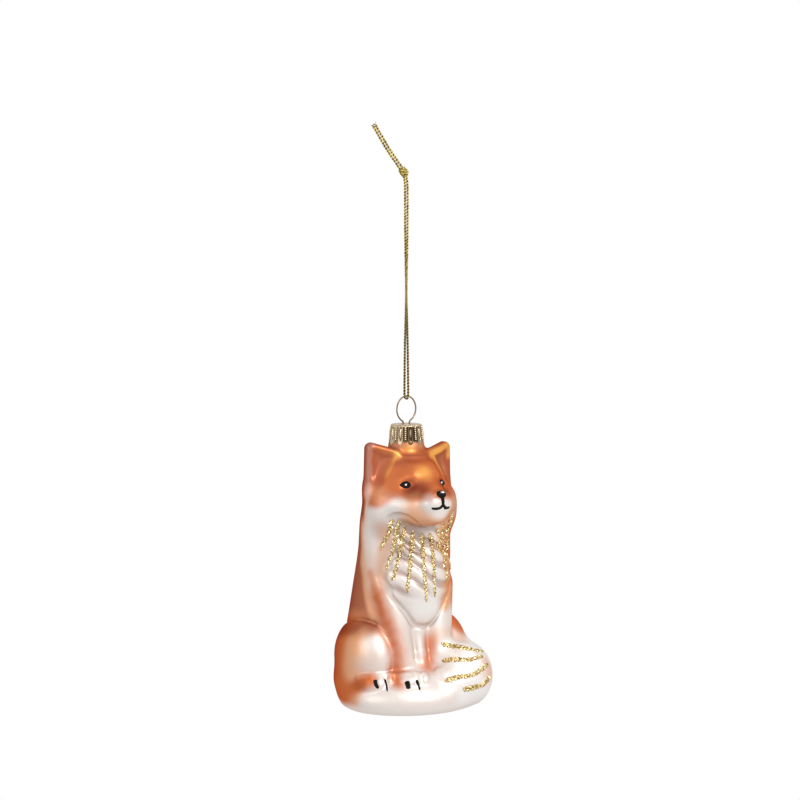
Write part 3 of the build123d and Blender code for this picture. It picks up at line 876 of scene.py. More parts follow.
def lacquer_material():
    """Pearly lacquer over silvered glass, tinted by the sprayed colours and the painted light and shade
    among them.
    """
    material, nodes, links, shader = new_material("pearl_lacquer")
    sprayed = attribute(nodes, "sprayed_colour", "Color")
    links.new(sprayed, shader.inputs["Base Color"])
    links.new(sprayed, shader.inputs["Specular Tint"])
    mist = tex_noise(nodes, links, 700.0)
    links.new(spread(nodes, links, mist, 0.36, 0.48), shader.inputs["Roughness"])
    bump(nodes, links, shader, tex_noise(nodes, links, 260.0), 0.06, 0.0004)
    shader.inputs["Metallic"].default_value = 0.5
    shader.inputs["Specular IOR Level"].default_value = 0.0
    return material


def enamel_material(name, colour):
    """Glossy hand-painted enamel."""
    material, nodes, links, shader = new_material(name)
    thin = tex_noise(nodes, links, 900.0)
    pale = tuple(min(1.0, c * 1.15 + 0.006) for c in colour)
    links.new(ramp(nodes, links, thin, [(0.35, colour), (0.75, pale)]), shader.inputs["Base Color"])
    links.new(spread(nodes, links, thin, 0.10, 0.2), shader.inputs["Roughness"])
    shader.inputs["Specular IOR Level"].default_value = 0.04
    bump(nodes, links, shader, tex_noise(nodes, links, 500.0), 0.1, 0.0003)
    return material


def glue_material(colours):
    """Glue with fine glitter dust sunk in it."""
    material, nodes, links, shader = new_material("glitter_glue")
    dust = tex_noise(nodes, links, 2600.0, 1.0)
    links.new(
        ramp(nodes, links, dust, [(0.35, colours.dark), (0.55, colours.middle), (0.7, colours.bright)]),
        shader.inputs["Base Color"],
    )
    shader.inputs["Metallic"].default_value = 0.6
    links.new(spread(nodes, links, dust, 0.5, 0.3), shader.inputs["Roughness"])
    bump(nodes, links, shader, dust, 0.8, 0.0002)
    return material


def flake_material(colours):
    """Glitter flakes, each with its own tone."""
    material, nodes, links, shader = new_material("glitter_flakes")
    tone = attribute(nodes, "tone")
    stops = [(0.0, colours.dark), (0.35, colours.middle), (0.75, colours.bright), (1.0, colours.spark)]
    links.new(ramp(nodes, links, tone, stops), shader.inputs["Base Color"])
    shader.inputs["Metallic"].default_value = 0.9
    links.new(spread(nodes, links, tone, 0.45, 0.2, 0.0, 1.0), shader.inputs["Roughness"])
    return material


def cap_material(colours):
    """Stamped champagne-gold metal, dark in its grooves and where a painted dark reflection runs down one
    side.
    """
    material, nodes, links, shader = new_material("champagne_metal")
    height = attribute(nodes, "stamped_height")
    stops = [(0.0, colours.groove), (0.32, colours.shadow), (0.55, colours.metal), (1.0, colours.edge)]
    links.new(ramp(nodes, links, height, stops), shader.inputs["Base Color"])
    shader.inputs["Metallic"].default_value = 0.85
    wear = tex_noise(nodes, links, 900.0, 4.0)
    links.new(spread(nodes, links, wear, 0.22, 0.42), shader.inputs["Roughness"])
    bump(nodes, links, shader, wear, 0.12, 0.0002)
    return material


def wire_material(colours):
    """Drawn wire with fine lengthwise marks."""
    material, nodes, links, shader = new_material("drawn_wire")
    marks = tex_noise(nodes, links, 1500.0, 3.0)
    stops = [(0.3, colours.shadow), (0.62, colours.wire)]
    links.new(ramp(nodes, links, marks, stops), shader.inputs["Base Color"])
    shader.inputs["Metallic"].default_value = 0.7
    links.new(spread(nodes, links, marks, 0.24, 0.4), shader.inputs["Roughness"])
    bump(nodes, links, shader, marks, 0.1, 0.0002)
    return material


# Heights in metres between which the yarn turns from darker to brighter, a painted sheen higher up, and its
# shades.
CORD_SHEEN_HEIGHTS = (-0.052, -0.030)
LOW_CORD_SHADE = (0.42, 0.38, 0.30)
THREAD_SHADE = (0.66, 0.60, 0.46)
FLECK_SHADE = (0.46, 0.38, 0.22)
WHITE = (1.0, 1.0, 1.0)


def multiply(nodes, links, colour, by, share=1.0):
    """Colour darkened by another."""
    both = nodes.new("ShaderNodeMix")
    both.data_type = "RGBA"
    both.blend_type = "MULTIPLY"
    both.inputs["Factor"].default_value = share
    links.new(colour, both.inputs["A"])
    links.new(by, both.inputs["B"])
    return both.outputs["Result"]


def cord_material(colours):
    """Metallic yarn: gold threads with painted shade between the plies and a painted highlight on their
    outsides, a painted sheen that leaves it darker low down and brighter higher up, and flecks.
    """
    material, nodes, links, shader = new_material("gold_yarn")
    threads = nodes.new("ShaderNodeTexWave")
    threads.wave_type = "BANDS"
    threads.bands_direction = "DIAGONAL"
    threads.inputs["Scale"].default_value = 5.0
    threads.inputs["Distortion"].default_value = 1.2
    place = nodes.new("ShaderNodeTexCoord")
    links.new(place.outputs["UV"], threads.inputs["Vector"])
    # Painted shade between the plies and painted highlight on their outsides.
    plies = [(0.42, colours.dark), (0.74, colours.gold), (1.0, colours.bright)]
    deep = ramp(nodes, links, attribute(nodes, "outward"), plies)
    thread = ramp(nodes, links, threads.outputs["Fac"], [(0.1, THREAD_SHADE), (0.6, WHITE)])
    height = nodes.new("ShaderNodeSeparateXYZ")
    links.new(place.outputs["Object"], height.inputs["Vector"])
    # Painted sheen: darker low down on the cord, brighter higher up.
    reflecting = spread(nodes, links, height.outputs["Z"], 0.0, 1.0, *CORD_SHEEN_HEIGHTS)
    lower = ramp(nodes, links, reflecting, [(0.0, LOW_CORD_SHADE), (1.0, WHITE)])
    specks = tex_noise(nodes, links, 900.0, 1.0)
    fleck = ramp(nodes, links, specks, [(0.38, FLECK_SHADE), (0.54, WHITE)])
    yarn = multiply(nodes, links, deep, thread, 0.8)
    yarn = multiply(nodes, links, yarn, lower)
    yarn = multiply(nodes, links, yarn, fleck)
    links.new(yarn, shader.inputs["Base Color"])
    shader.inputs["Metallic"].default_value = 0.35
    links.new(spread(nodes, links, threads.outputs["Fac"], 0.5, 0.32, 0.0, 1.0), shader.inputs["Roughness"])
    bump(nodes, links, shader, threads.outputs["Fac"], 0.4, 0.0002)
    return material


def floor_material():
    """Pale floor that is plain white to the camera away from the fox."""
    material, nodes, links, shader = new_material("pale_floor")
    shader.inputs["Base Color"].default_value = (0.86, 0.86, 0.86, 1.0)
    shader.inputs["Roughness"].default_value = 0.9
    white = nodes.new("ShaderNodeEmission")
    white.inputs["Strength"].default_value = 1.0
    place = nodes.new("ShaderNodeTexCoord")
    away = nodes.new("ShaderNodeVectorMath")
    away.operation = "LENGTH"
    links.new(place.outputs["Object"], away.inputs[0])
    share = spread(nodes, links, away.outputs["Value"], 0.35, 1.0, 0.1, 0.42)
    seen = white_rays(nodes, links)
    both = nodes.new("ShaderNodeMath")
    both.operation = "MULTIPLY"
    links.new(share, both.inputs[0])
    links.new(seen, both.inputs[1])
    mix = nodes.new("ShaderNodeMixShader")
    links.new(both.outputs[0], mix.inputs[0])
    links.new(shader.outputs[0], mix.inputs[1])
    links.new(white.outputs[0], mix.inputs[2])
    links.new(mix.outputs[0], nodes["Material Output"].inputs[0])
    return material


def white_rays(nodes, links):
    """1 for what the camera sees straight, in a mirror or through glass."""
    path = nodes.new("ShaderNodeLightPath")
    found = path.outputs["Is Camera Ray"]
    for name in ("Is Glossy Ray", "Is Transmission Ray"):
        either = nodes.new("ShaderNodeMath")
        either.operation = "MAXIMUM"
        links.new(found, either.inputs[0])
        links.new(path.outputs[name], either.inputs[1])
        found = either.outputs[0]
    return found


# Painted and glued lines, placed as seen in the photograph's square of 800.
FOX_MIDDLE = 405.0
SEARCH_STEP = 0.4
SEARCH_TRIES = 30
EYE = [
    (399.2, 485.6), (401.6, 482.6), (405.4, 481.0), (409.0, 481.8),
    (411.0, 484.6), (409.6, 487.6), (405.6, 488.6), (402.0, 487.4),
]
# The nose is placed from straight ahead of the head, in millimetres.
NOSE = [
    (-2.2, -1.9), (-1.7, -1.0), (0.1, -0.6), (2.0, -1.0),
    (3.0, -1.9), (2.1, -3.0), (0.3, -3.8), (-1.5, -3.1),
]
# Painted highlights on the eye and the nose, made as drops of white enamel.
EYE_HIGHLIGHT = [(404.2, 484.6), (405.3, 483.2), (407.0, 483.4), (407.6, 485.0), (406.3, 486.2), (404.6, 486.0)]
NOSE_HIGHLIGHT = [(439.8, 492.3), (441.4, 491.4), (443.4, 491.6), (444.8, 492.9), (443.6, 493.7), (441.4, 493.3)]
MOUTH = [
    ([(442.4, 497.0), (443.0, 501.0), (443.2, 505.6)], (0.85, 0.6)),
    ([(443.2, 504.6), (440.6, 507.6), (436.4, 508.8), (431.4, 508.4)], (0.62, 0.52)),
    ([(443.2, 504.6), (445.0, 507.2), (447.4, 508.0)], (0.6, 0.5)),
]
FAR_MOUTH = ([(439.4, 508.2), (436.4, 508.8), (431.4, 508.4)], (0.6, 0.5))
CLAWS = [
    ([(375.0, 679.6), (375.8, 684.0), (378.4, 688.6)], (0.9, 0.6)),
    ([(384.6, 679.0), (386.2, 684.0), (387.4, 691.6)], (0.62, 0.3)),
    ([(406.6, 681.0), (407.8, 685.0), (408.6, 689.0)], (1.0, 0.9)),
    ([(416.2, 679.8), (418.4, 684.6), (420.0, 690.4)], (0.72, 0.34)),
]
# Painted highlights beside the claws, made as strokes of white enamel.
CLAW_HIGHLIGHTS = [
    ([(378.4, 680.4), (380.0, 685.0)], (0.3, 0.2)),
    ([(383.2, 680.0), (384.4, 687.0)], (0.36, 0.24)),
    ([(411.0, 681.4), (412.2, 687.4)], (0.36, 0.24)),
    ([(414.4, 681.0), (416.4, 688.0)], (0.34, 0.2)),
]
CHEST_LINES = [
    [(392, 519), (389, 532), (380, 550)],
    [(399, 520), (396, 536), (393, 550), (386, 570)],
    [(405, 526), (401, 546), (399, 557), (394, 576), (391, 580)],
    [(413, 530), (411, 554), (409, 576), (407, 593)],
    [(422, 533), (423, 555), (425, 580), (426.5, 602)],
    [(430, 533), (432, 547), (434, 569), (435, 597)],
]
# Lines round the chest's far side, in degrees from the front and millimetres of height.
FAR_CHEST_LINES = [
    [(25.0, 69.4), (25.5, 63.0), (23.5, 58.0), (24.0, 54.0), (24.5, 49.0)],
    [(36.0, 71.4), (37.5, 63.0), (40.0, 56.0)],
    [(44.0, 75.4), (47.0, 67.0), (48.0, 58.5), (45.0, 52.6)],
]
TAIL_LINES = [
    [(441, 644), (452, 646), (465, 648), (484, 652)],
    [(442, 661), (455, 659.5), (468, 660), (483, 656)],
    [(445, 681), (458, 677), (474, 674), (489, 663)],
    [(463, 689.5), (471, 688), (484, 684), (490, 675)],
]


def through(points, count, closed=False):
    """Smooth line of count points through a list of points."""
    rows = [np.array(p, float) for p in points]
    if closed:
        rows = [rows[-1]] + rows + rows[:2]
    else:
        rows = [2 * rows[0] - rows[1]] + rows + [2 * rows[-1] - rows[-2]]
    spans = len(rows) - 3
    found = []
    for t in np.linspace(0.0, spans, count, endpoint=not closed):
        i = min(int(t), spans - 1)
        f = t - i
        a, b, c, d = rows[i : i + 4]
        bend = (2 * a - 5 * b + 4 * c - d) * f**2 + (3 * b - a - 3 * c + d) * f**3
        found.append(0.5 * (2 * b + (c - a) * f + bend))
    return found


class Seen:
    """The fox's surface, looked at from where the photograph was taken."""

    def __init__(self, fox, look, form):
        mesh = fox.data
        corners = [v.co.copy() for v in mesh.vertices]
        self.tree = BVHTree.FromPolygons(corners, [tuple(p.vertices) for p in mesh.polygons])
        self.back, self.right, self.up, aim = view_axes(look)
        self.eye = aim + self.back * look.distance
        self.step = look.field / look.distance / PICTURE
        self.middle = Vector((HEAD_CENTRE[0], HEAD_CENTRE[1], HEAD_CENTRE[2] + UNDERSIDE)) * MM
        self.turn = Matrix.Rotation(form.head_turn, 3, "Z")

    def at(self, place):
        """Point and outward direction of the surface at a place in the picture."""
        x, y = place
        for _ in range(SEARCH_TRIES):
            across = (x - PICTURE / 2.0) * self.step
            above = (PICTURE / 2.0 - y) * self.step
            ray = -self.back + self.right * across + self.up * above
            point, normal = self.tree.ray_cast(self.eye, ray.normalized())[:2]
            if point is not None:
                return point, normal
            x += SEARCH_STEP if x < FOX_MIDDLE else -SEARCH_STEP
        raise RuntimeError(f"nothing of the fox is seen at {place}")

    def opposite(self, place):
        """The same place on the other side of the head."""
        place = self.turn @ (self.at(place)[0] - self.middle)
        place.x = -place.x
        return self.tree.find_nearest(self.middle + self.turn.transposed() @ place)[:2]

    def ahead(self, place):
        """Surface of the head at a place seen from straight ahead, in millimetres."""
        start = self.middle + self.turn.transposed() @ Vector((place[0], -60.0, place[1])) * MM
        return self.tree.ray_cast(start, self.turn.transposed() @ Vector((0.0, 1.0, 0.0)))[:2]

    def around(self, place):
        """Surface at an angle round the fox in degrees and a height in millimetres."""
        a, height = math.radians(place[0]), (place[1] + UNDERSIDE) * MM
        out = Vector((math.sin(a), -math.cos(a), 0.0))
        return self.tree.ray_cast(out * 0.06 + Vector((0.0, 0.0, height)), -out)[:2]


def view_axes(look):
    """Directions back to the camera, right and up, and the point it aims at."""
    a, e = look.azimuth, look.elevation
    back = Vector((math.sin(a) * math.cos(e), -math.cos(a) * math.cos(e), math.sin(e)))
    right = Vector((math.cos(a), math.sin(a), 0.0))
    aim = right * look.aim_side + Vector((0.0, 0.0, look.aim_height))
    return back, right, back.cross(right), aim


def painted_patch(at, outline, height, spokes=28, rings=5):
    """Closed drop of enamel within an outline on a surface: points and faces."""
    edge = through(outline, spokes, closed=True)
    middle = sum(edge) / len(edge)
    point, normal = at(middle)
    points = [point + normal * height]
    for ring in range(1, rings + 1):
        t = ring / rings
        lift = height * math.sqrt(max(0.0, 1.0 - t * t)) if ring < rings else -0.00005
        for place in edge:
            p, n = at(middle + (place - middle) * t)
            points.append(p + n * lift)
    points.append(point - normal * 0.0005)
    faces = []
    for i in range(spokes):
        j = (i + 1) % spokes
        faces.append((0, 1 + j, 1 + i))
        for ring in range(rings - 1):
            a = 1 + ring * spokes
            faces.append((a + i, a + j, a + spokes + j, a + spokes + i))
        last = 1 + (rings - 1) * spokes
        faces.append((last + i, last + j, len(points) - 1))
    return points, faces


def painted_line(at, line, widths, height, count=24, sides=10, sway=0.0):
    """Closed raised stroke along a line, sunk a little in the surface: points and faces."""
    places = through(line, count)
    if sway:
        for i, p in enumerate(places):
            shift = np.array([math.sin(1.9 * i + p[0]), 0.6 * math.cos(1.3 * i)])
            places[i] = p + sway * shift
    found = [at(p) for p in places]
    points, faces = [], []
    for i, (point, normal) in enumerate(found):
        t = i / (count - 1)
        along = (found[min(i + 1, count - 1)][0] - found[max(i - 1, 0)][0]).normalized()
        across = normal.cross(along).normalized()
        taper = math.sqrt(max(0.02, 1.0 - (2.0 * t - 1.0) ** 8))
        half = (widths[0] + (widths[1] - widths[0]) * t) * MM * taper
        if sway:
            half *= 1.0 + 0.22 * math.sin(2.3 * i + 3.0 * places[0][0])
        for k in range(sides):
            a = 2.0 * math.pi * k / sides
            points.append(point + across * (half * math.cos(a)) + normal * (height * taper * math.sin(a)))
    for i in range(count - 1):
        for k in range(sides):
            m = (k + 1) % sides
            faces.append((i * sides + k, (i + 1) * sides + k, (i + 1) * sides + m, i * sides + m))
    faces.append(tuple(range(sides)))
    faces.append(tuple((count - 1) * sides + k for k in reversed(range(sides))))
    return points, faces


def gathered(parts):
    """One list of points and faces from several."""
    points, faces = [], []
    for more_points, more_faces in parts:
        start = len(points)
        points.extend(more_points)
        faces.extend(tuple(start + i for i in face) for face in more_faces)
    return points, faces


def faces_out(made):
    """Turns each closed shell's faces outward."""
    mesh = bmesh.new()
    mesh.from_mesh(made.data)
    bmesh.ops.recalc_face_normals(mesh, faces=mesh.faces)
    mesh.to_mesh(made.data)
    mesh.free()
    made.data.update()


def new_group(name, inputs):
    """Geometry node group with named inputs and one geometry output."""
    group = bpy.data.node_groups.new(name, "GeometryNodeTree")
    for label, kind, default in inputs:
        socket = group.interface.new_socket(name=label, in_out="INPUT", socket_type=kind)
        if default is not None:
            socket.default_value = default
    group.interface.new_socket(name="Geometry", in_out="OUTPUT", socket_type="NodeSocketGeometry")
    return group, group.nodes.new("NodeGroupInput"), group.nodes.new("NodeGroupOutput")


def connect(group, rows):
    """Links a group's nodes by rows of node, output, node and input."""
    for source, output, target, entry in rows:
        group.links.new(source.outputs[output], target.inputs[entry])


FLAKE_SIDES = 5
FLAKE_FLATNESS = 0.25
FLAKE_SIZES = (0.35, 0.62)
FLAKE_LIFT = 0.00006


def flake_group():
    """Scatters small five-sided flakes over a surface."""
    group, given, result = new_group(
        "glitter_scatter",
        [
            ("Geometry", "NodeSocketGeometry", None),
            ("Density", "NodeSocketFloat", 9.0e6),
            ("Flake size", "NodeSocketFloat", 0.0005),
            ("Tilt", "NodeSocketFloat", 0.7),
            ("Seed", "NodeSocketInt", 4),
            ("Material", "NodeSocketMaterial", None),
        ],
    )
    nodes = group.nodes
    scatter = nodes.new("GeometryNodeDistributePointsOnFaces")
    grain = nodes.new("GeometryNodeMeshUVSphere")
    grain.inputs["Segments"].default_value = FLAKE_SIDES
    grain.inputs["Rings"].default_value = 2
    flake = nodes.new("GeometryNodeTransform")
    flake.inputs["Scale"].default_value = (1.0, 1.0, FLAKE_FLATNESS)
    down = nodes.new("ShaderNodeMath")
    down.operation = "MULTIPLY"
    down.inputs[1].default_value = -1.0
    tilt = nodes.new("FunctionNodeRandomValue")
    tilt.data_type = "FLOAT_VECTOR"
    turn = nodes.new("FunctionNodeRotateRotation")
    turn.rotation_space = "LOCAL"
    size = nodes.new("FunctionNodeRandomValue")
    size.data_type = "FLOAT"
    size.inputs[2].default_value, size.inputs[3].default_value = FLAKE_SIZES
    copies = nodes.new("GeometryNodeInstanceOnPoints")
    lift = nodes.new("GeometryNodeTranslateInstances")
    lift.inputs["Translation"].default_value = (0.0, 0.0, FLAKE_LIFT)
    tone = nodes.new("FunctionNodeRandomValue")
    tone.data_type = "FLOAT"
    keep = nodes.new("GeometryNodeStoreNamedAttribute")
    keep.data_type = "FLOAT"
    keep.domain = "INSTANCE"
    keep.inputs["Name"].default_value = "tone"
    real = nodes.new("GeometryNodeRealizeInstances")
    finish = nodes.new("GeometryNodeSetMaterial")
    connect(
        group,
        [
            (given, "Geometry", scatter, "Mesh"),
            (given, "Density", scatter, "Density"),
            (given, "Seed", scatter, "Seed"),
            (given, "Flake size", grain, "Radius"),
            (grain, "Mesh", flake, "Geometry"),
            (given, "Tilt", down, 0),
            (down, 0, tilt, 0),
            (given, "Tilt", tilt, 1),
            (given, "Seed", tilt, "Seed"),
            (scatter, "Rotation", turn, "Rotation"),
            (tilt, 0, turn, "Rotate By"),
            (given, "Seed", size, "Seed"),
            (scatter, "Points", copies, "Points"),
            (flake, "Geometry", copies, "Instance"),
            (turn, "Rotation", copies, "Rotation"),
            (size, 1, copies, "Scale"),
            (copies, "Instances", lift, "Instances"),
            (given, "Seed", tone, "Seed"),
            (lift, "Instances", keep, "Geometry"),
            (tone, 1, keep, "Value"),
            (keep, "Geometry", real, "Geometry"),
            (real, "Geometry", finish, "Geometry"),
            (given, "Material", finish, "Material"),
            (finish, "Geometry", result, "Geometry"),
        ],
    )
    return group


def bead_group():
    """Sets a small round bead on each point of a mesh."""
    group, given, result = new_group(
        "bead_columns",
        [
            ("Geometry", "NodeSocketGeometry", None),
            ("Bead radius", "NodeSocketFloat", 0.0003),
            ("Material", "NodeSocketMaterial", None),
        ],
    )
    nodes = group.nodes
    spots = nodes.new("GeometryNodeMeshToPoints")
    bead = nodes.new("GeometryNodeMeshUVSphere")
    bead.inputs["Segments"].default_value = 8
    bead.inputs["Rings"].default_value = 6
    copies = nodes.new("GeometryNodeInstanceOnPoints")
    real = nodes.new("GeometryNodeRealizeInstances")
    height = nodes.new("GeometryNodeStoreNamedAttribute")
    height.data_type = "FLOAT"
    height.domain = "POINT"
    height.inputs["Name"].default_value = "stamped_height"
    height.inputs["Value"].default_value = 1.0
    finish = nodes.new("GeometryNodeSetMaterial")
    connect(
        group,
        [
            (given, "Geometry", spots, "Mesh"),
            (given, "Bead radius", bead, "Radius"),
            (spots, "Points", copies, "Points"),
            (bead, "Mesh", copies, "Instance"),
            (copies, "Instances", real, "Geometry"),
            (real, "Geometry", height, "Geometry"),
            (height, "Geometry", finish, "Geometry"),
            (given, "Material", finish, "Material"),
            (finish, "Geometry", result, "Geometry"),
        ],
    )
    return group


def grow(made, group, values, smooth=False):
    """Runs a node group on an object and keeps the plain mesh that it makes."""
    step = made.modifiers.new(group.name, "NODES")
    step.node_group = group
    for item in group.interface.items_tree:
        if item.in_out == "INPUT" and item.name in values:
            step[item.identifier] = values[item.name]
    bpy.context.view_layer.update()
    graph = bpy.context.evaluated_depsgraph_get()
    done = made.evaluated_get(graph)
    mesh = bpy.data.meshes.new_from_object(done, preserve_all_data_layers=True, depsgraph=graph)
    made.modifiers.remove(step)
    made.data = mesh
    mesh.name = made.name
    mesh.polygons.foreach_set("use_smooth", [smooth] * len(mesh.polygons))
    if not mesh.polygons:
        raise RuntimeError(f"{group.name} made nothing on {made.name}")
    return made


def keep_values(made, name, values):
    """Number at each point of the mesh, for its material."""
    layer = made.data.attributes.new(name, "FLOAT", "POINT")
    layer.data.foreach_set("value", np.asarray(values, np.float32))


def on_circle(radius, turn):
    """Place on a circle at a share of a whole turn."""
    a = 2.0 * math.pi * turn
    return radius * math.cos(a), radius * math.sin(a)


# Where round the cap a painted dark reflection runs, as a share of a turn, and its spread.
DARK_REFLECTION_TURN = 0.715
DARK_REFLECTION_SPREAD = 0.085
CAP_RELIEF = 0.0008
CAP_SHOULDER = 0.0008
CAP_FLAT_INSET = 0.0011
CAP_ROWS = 26
CAP_BEND_ROWS = 6
CAP_INNER_ROWS = 5
POINTS_PER_SCALLOP = 24
SCALLOP_POWER = 1.3
HOLE_SIDES = 24
# Stamped pattern of one scallop: places and sizes as shares of a scallop's width and the cap's height.
GROOVE = (0.30, 0.045)
COLUMN = (0.5, 0.10)
RING_SIZE = (0.15, 0.3)
RING_HEIGHT = 0.56
RING_WIDTH = 0.28
DROP_SIZE = (0.07, 0.2)
DROP_HEIGHT = 0.6
PATTERN_TOP = 0.93
PATTERN_EDGE = 0.08
# Stamped heights from 0 to 1.
PLAIN_HEIGHT = 0.66
FULL_HEIGHT = 0.95
BEND_HEIGHT = 0.6
INNER_HEIGHT = 0.15
BEAD_ROWS = 7
BEAD_START = 0.29
BEAD_RUN = 0.58
BEAD_INSET = 0.00022
BEAD_RADIUS = 0.00034


def stamped_cap(shape):
    """Points, faces and stamped heights of the cap's shell, in metres; the heights also carry a painted dark
    reflection down one side.
    """
    scallops = shape.scallops
    count = scallops * POINTS_PER_SCALLOP
    top, bottom = CAP_HIGH.z, CAP_LOW.z
    tall = top - bottom
    flat_radius = shape.top_radius - CAP_FLAT_INSET
    points, faces, heights = [], [], []

    def outer(turn, up):
        """Radius and stamped height of the skirt at a turn and a height from 0 to 1."""
        radius = shape.skirt_radius + (shape.top_radius - shape.skirt_radius) * up
        place = turn * scallops
        place = abs(place - round(place))
        groove = math.exp(-(((place - GROOVE[0]) / GROOVE[1]) ** 2))
        column = math.exp(-(((place - COLUMN[0]) / COLUMN[1]) ** 2))
        oval = math.hypot(place / RING_SIZE[0], (up - RING_HEIGHT) / RING_SIZE[1])
        ring = max(0.0, 1.0 - abs(oval - 1.0) / RING_WIDTH)
        drop = max(0.0, 1.0 - (place / DROP_SIZE[0]) ** 2 - ((up - DROP_HEIGHT) / DROP_SIZE[1]) ** 2)
        fadeout = min(1.0, max(0.0, (PATTERN_TOP - up) / PATTERN_EDGE))
        pattern = 0.28 * math.sqrt(drop) - 0.6 * groove - 0.45 * column - 0.5 * ring
        stamped = PLAIN_HEIGHT + fadeout * pattern
        # Painted dark reflection on one side, taken off the stamped height that sets the colour.
        dark_reflection = shape.dark_reflection * math.exp(-(((turn - DARK_REFLECTION_TURN) / DARK_REFLECTION_SPREAD) ** 2))
        relief = (min(stamped, FULL_HEIGHT) - FULL_HEIGHT) * CAP_RELIEF
        return radius + relief, min(max(stamped - dark_reflection, 0.0), 1.0)

    def low_edge(turn):
        """Height of the scalloped lower edge."""
        place = turn * scallops
        place = abs(place - round(place))
        return bottom + shape.scallop_depth * (place / 0.5) ** SCALLOP_POWER

    turns = [(k + 0.5) / count for k in range(count)]
    shoulder = top - CAP_SHOULDER
    for row in range(CAP_ROWS):
        t = row / (CAP_ROWS - 1)
        for turn in turns:
            z = low_edge(turn) + (shoulder - low_edge(turn)) * t
            radius, stamped = outer(turn, (z - bottom) / tall)
            points.append((*on_circle(radius, turn), z))
            heights.append(stamped)
    for step in range(1, CAP_BEND_ROWS + 1):
        b = step / CAP_BEND_ROWS * math.pi / 2.0
        for turn in turns:
            inner = flat_radius + (outer(turn, 0.9)[0] - flat_radius) * math.cos(b)
            points.append((*on_circle(inner, turn), shoulder + CAP_SHOULDER * math.sin(b)))
            heights.append(BEND_HEIGHT)
    outside = CAP_ROWS + CAP_BEND_ROWS
    wall = shape.wall
    for step in range(CAP_INNER_ROWS):
        t = step / (CAP_INNER_ROWS - 1)
        for turn in turns:
            z = (top - wall) + (low_edge(turn) - (top - wall)) * t
            radius = outer(turn, (z - bottom) / tall)[0] - wall if step else flat_radius - wall * 0.5
            points.append((*on_circle(radius, turn), z))
            heights.append(INNER_HEIGHT)
    total = outside + CAP_INNER_ROWS
    for row in list(range(outside - 1)) + list(range(outside, total - 1)):
        for k in range(count):
            m = (k + 1) % count
            faces.append((row * count + k, row * count + m, (row + 1) * count + m, (row + 1) * count + k))
    for k in range(count):
        m = (k + 1) % count
        last = (total - 1) * count
        faces.append((last + k, last + m, m, k))
    return points, faces, heights, (outside - 1) * count, outside * count, count


def cap_top(mesh, upper, lower, count, holes, radius):
    """Closes the cap's top above and below, with two round holes for the wire."""
    mesh.verts.ensure_lookup_table()
    sides = HOLE_SIDES
    rings = []
    for start in (upper, lower):
        z = mesh.verts[start].co.z
        rim = [mesh.verts[start + k] for k in range(count)]
        edges = [mesh.edges.get((rim[k], rim[(k + 1) % count])) for k in range(count)]
        made = []
        for x, y in holes:
            ring = []
            for k in range(sides):
                across, along = on_circle(radius, k / sides)
                ring.append(mesh.verts.new((x + across, y + along, z)))
            edges += [mesh.edges.new((ring[k], ring[(k + 1) % sides])) for k in range(sides)]
            made.append(ring)
        bmesh.ops.triangle_fill(mesh, edges=edges, use_beauty=True, use_dissolve=False)
        rings.append(made)
        mesh.verts.ensure_lookup_table()
    for above, below in zip(*rings):
        for k in range(sides):
            m = (k + 1) % sides
            mesh.faces.new((above[k], above[m], below[m], below[k]))


CORD_STEP = 0.00016
FRAY_LENGTH = 0.0022
CLOSED_END = 0.55


def route_line(name, route):
    """Even points along the smooth line of a route."""
    curve = bpy.data.curves.new(name, "CURVE")
    curve.dimensions = "3D"
    curve.resolution_u = 40
    spline = curve.splines.new("NURBS")
    spline.points.add(len(route) - 1)
    for point, place in zip(spline.points, route):
        point.co = (*place, 1.0)
    spline.order_u = 3
    spline.use_endpoint_u = True
    holder = bpy.data.objects.new(name, curve)
    bpy.context.scene.collection.objects.link(holder)
    mesh = bpy.data.meshes.new_from_object(holder)
    points = np.array([v.co for v in mesh.vertices])
    bpy.data.objects.remove(holder)
    bpy.data.curves.remove(curve)
    bpy.data.meshes.remove(mesh)
    run = np.concatenate([[0.0], np.cumsum(np.linalg.norm(np.diff(points, axis=0), axis=1))])
    even = np.linspace(0.0, run[-1], int(run[-1] / CORD_STEP) + 1)
    return [Vector(place) for place in np.stack([np.interp(even, run, points[:, k]) for k in range(3)], 1)]


def twisted(points, yarn, flare=0.0, sides=8):
    """Two plies along a line: points, faces, how far out each point lies and its place in the thread."""
    count = len(points)
    along = [(points[min(i + 1, count - 1)] - points[max(i - 1, 0)]).normalized() for i in range(count)]
    side = along[0].orthogonal().normalized()
    run, frames = 0.0, []
    for i in range(count):
        if i:
            run += (points[i] - points[i - 1]).length
            side = (side - along[i] * side.dot(along[i])).normalized()
        frames.append((run, side, along[i].cross(side)))
    made, faces, outward, thread = [], [], [], []
    for ply in range(2):
        start = len(made)
        for i in range(count):
            run, u, v = frames[i]
            a = 2.0 * math.pi * (run / yarn.lay + ply / 2.0)
            left = frames[-1][0] - run
            open_out = 1.0 + flare * max(0.0, 1.0 - left / FRAY_LENGTH)
            out = u * math.cos(a) + v * math.sin(a)
            middle = points[i] + out * (yarn.offset * open_out)
            over = along[i].cross(out)
            close = CLOSED_END if i in (0, count - 1) else 1.0
            for k in range(sides):
                b = 2.0 * math.pi * k / sides
                made.append(middle + (out * math.cos(b) + over * math.sin(b)) * (yarn.ply_radius * close))
                outward.append(0.5 + 0.5 * math.cos(b))
                thread.append((k / sides, run / MM))
        for i in range(count - 1):
            near, far = start + i * sides, start + (i + 1) * sides
            for k in range(sides):
                m = (k + 1) % sides
                faces.append((near + k, near + m, far + m, far + k))
        faces.append(tuple(start + k for k in reversed(range(sides))))
        last = start + (count - 1) * sides
        faces.append(tuple(last + k for k in range(sides)))
    return made, faces, outward, thread


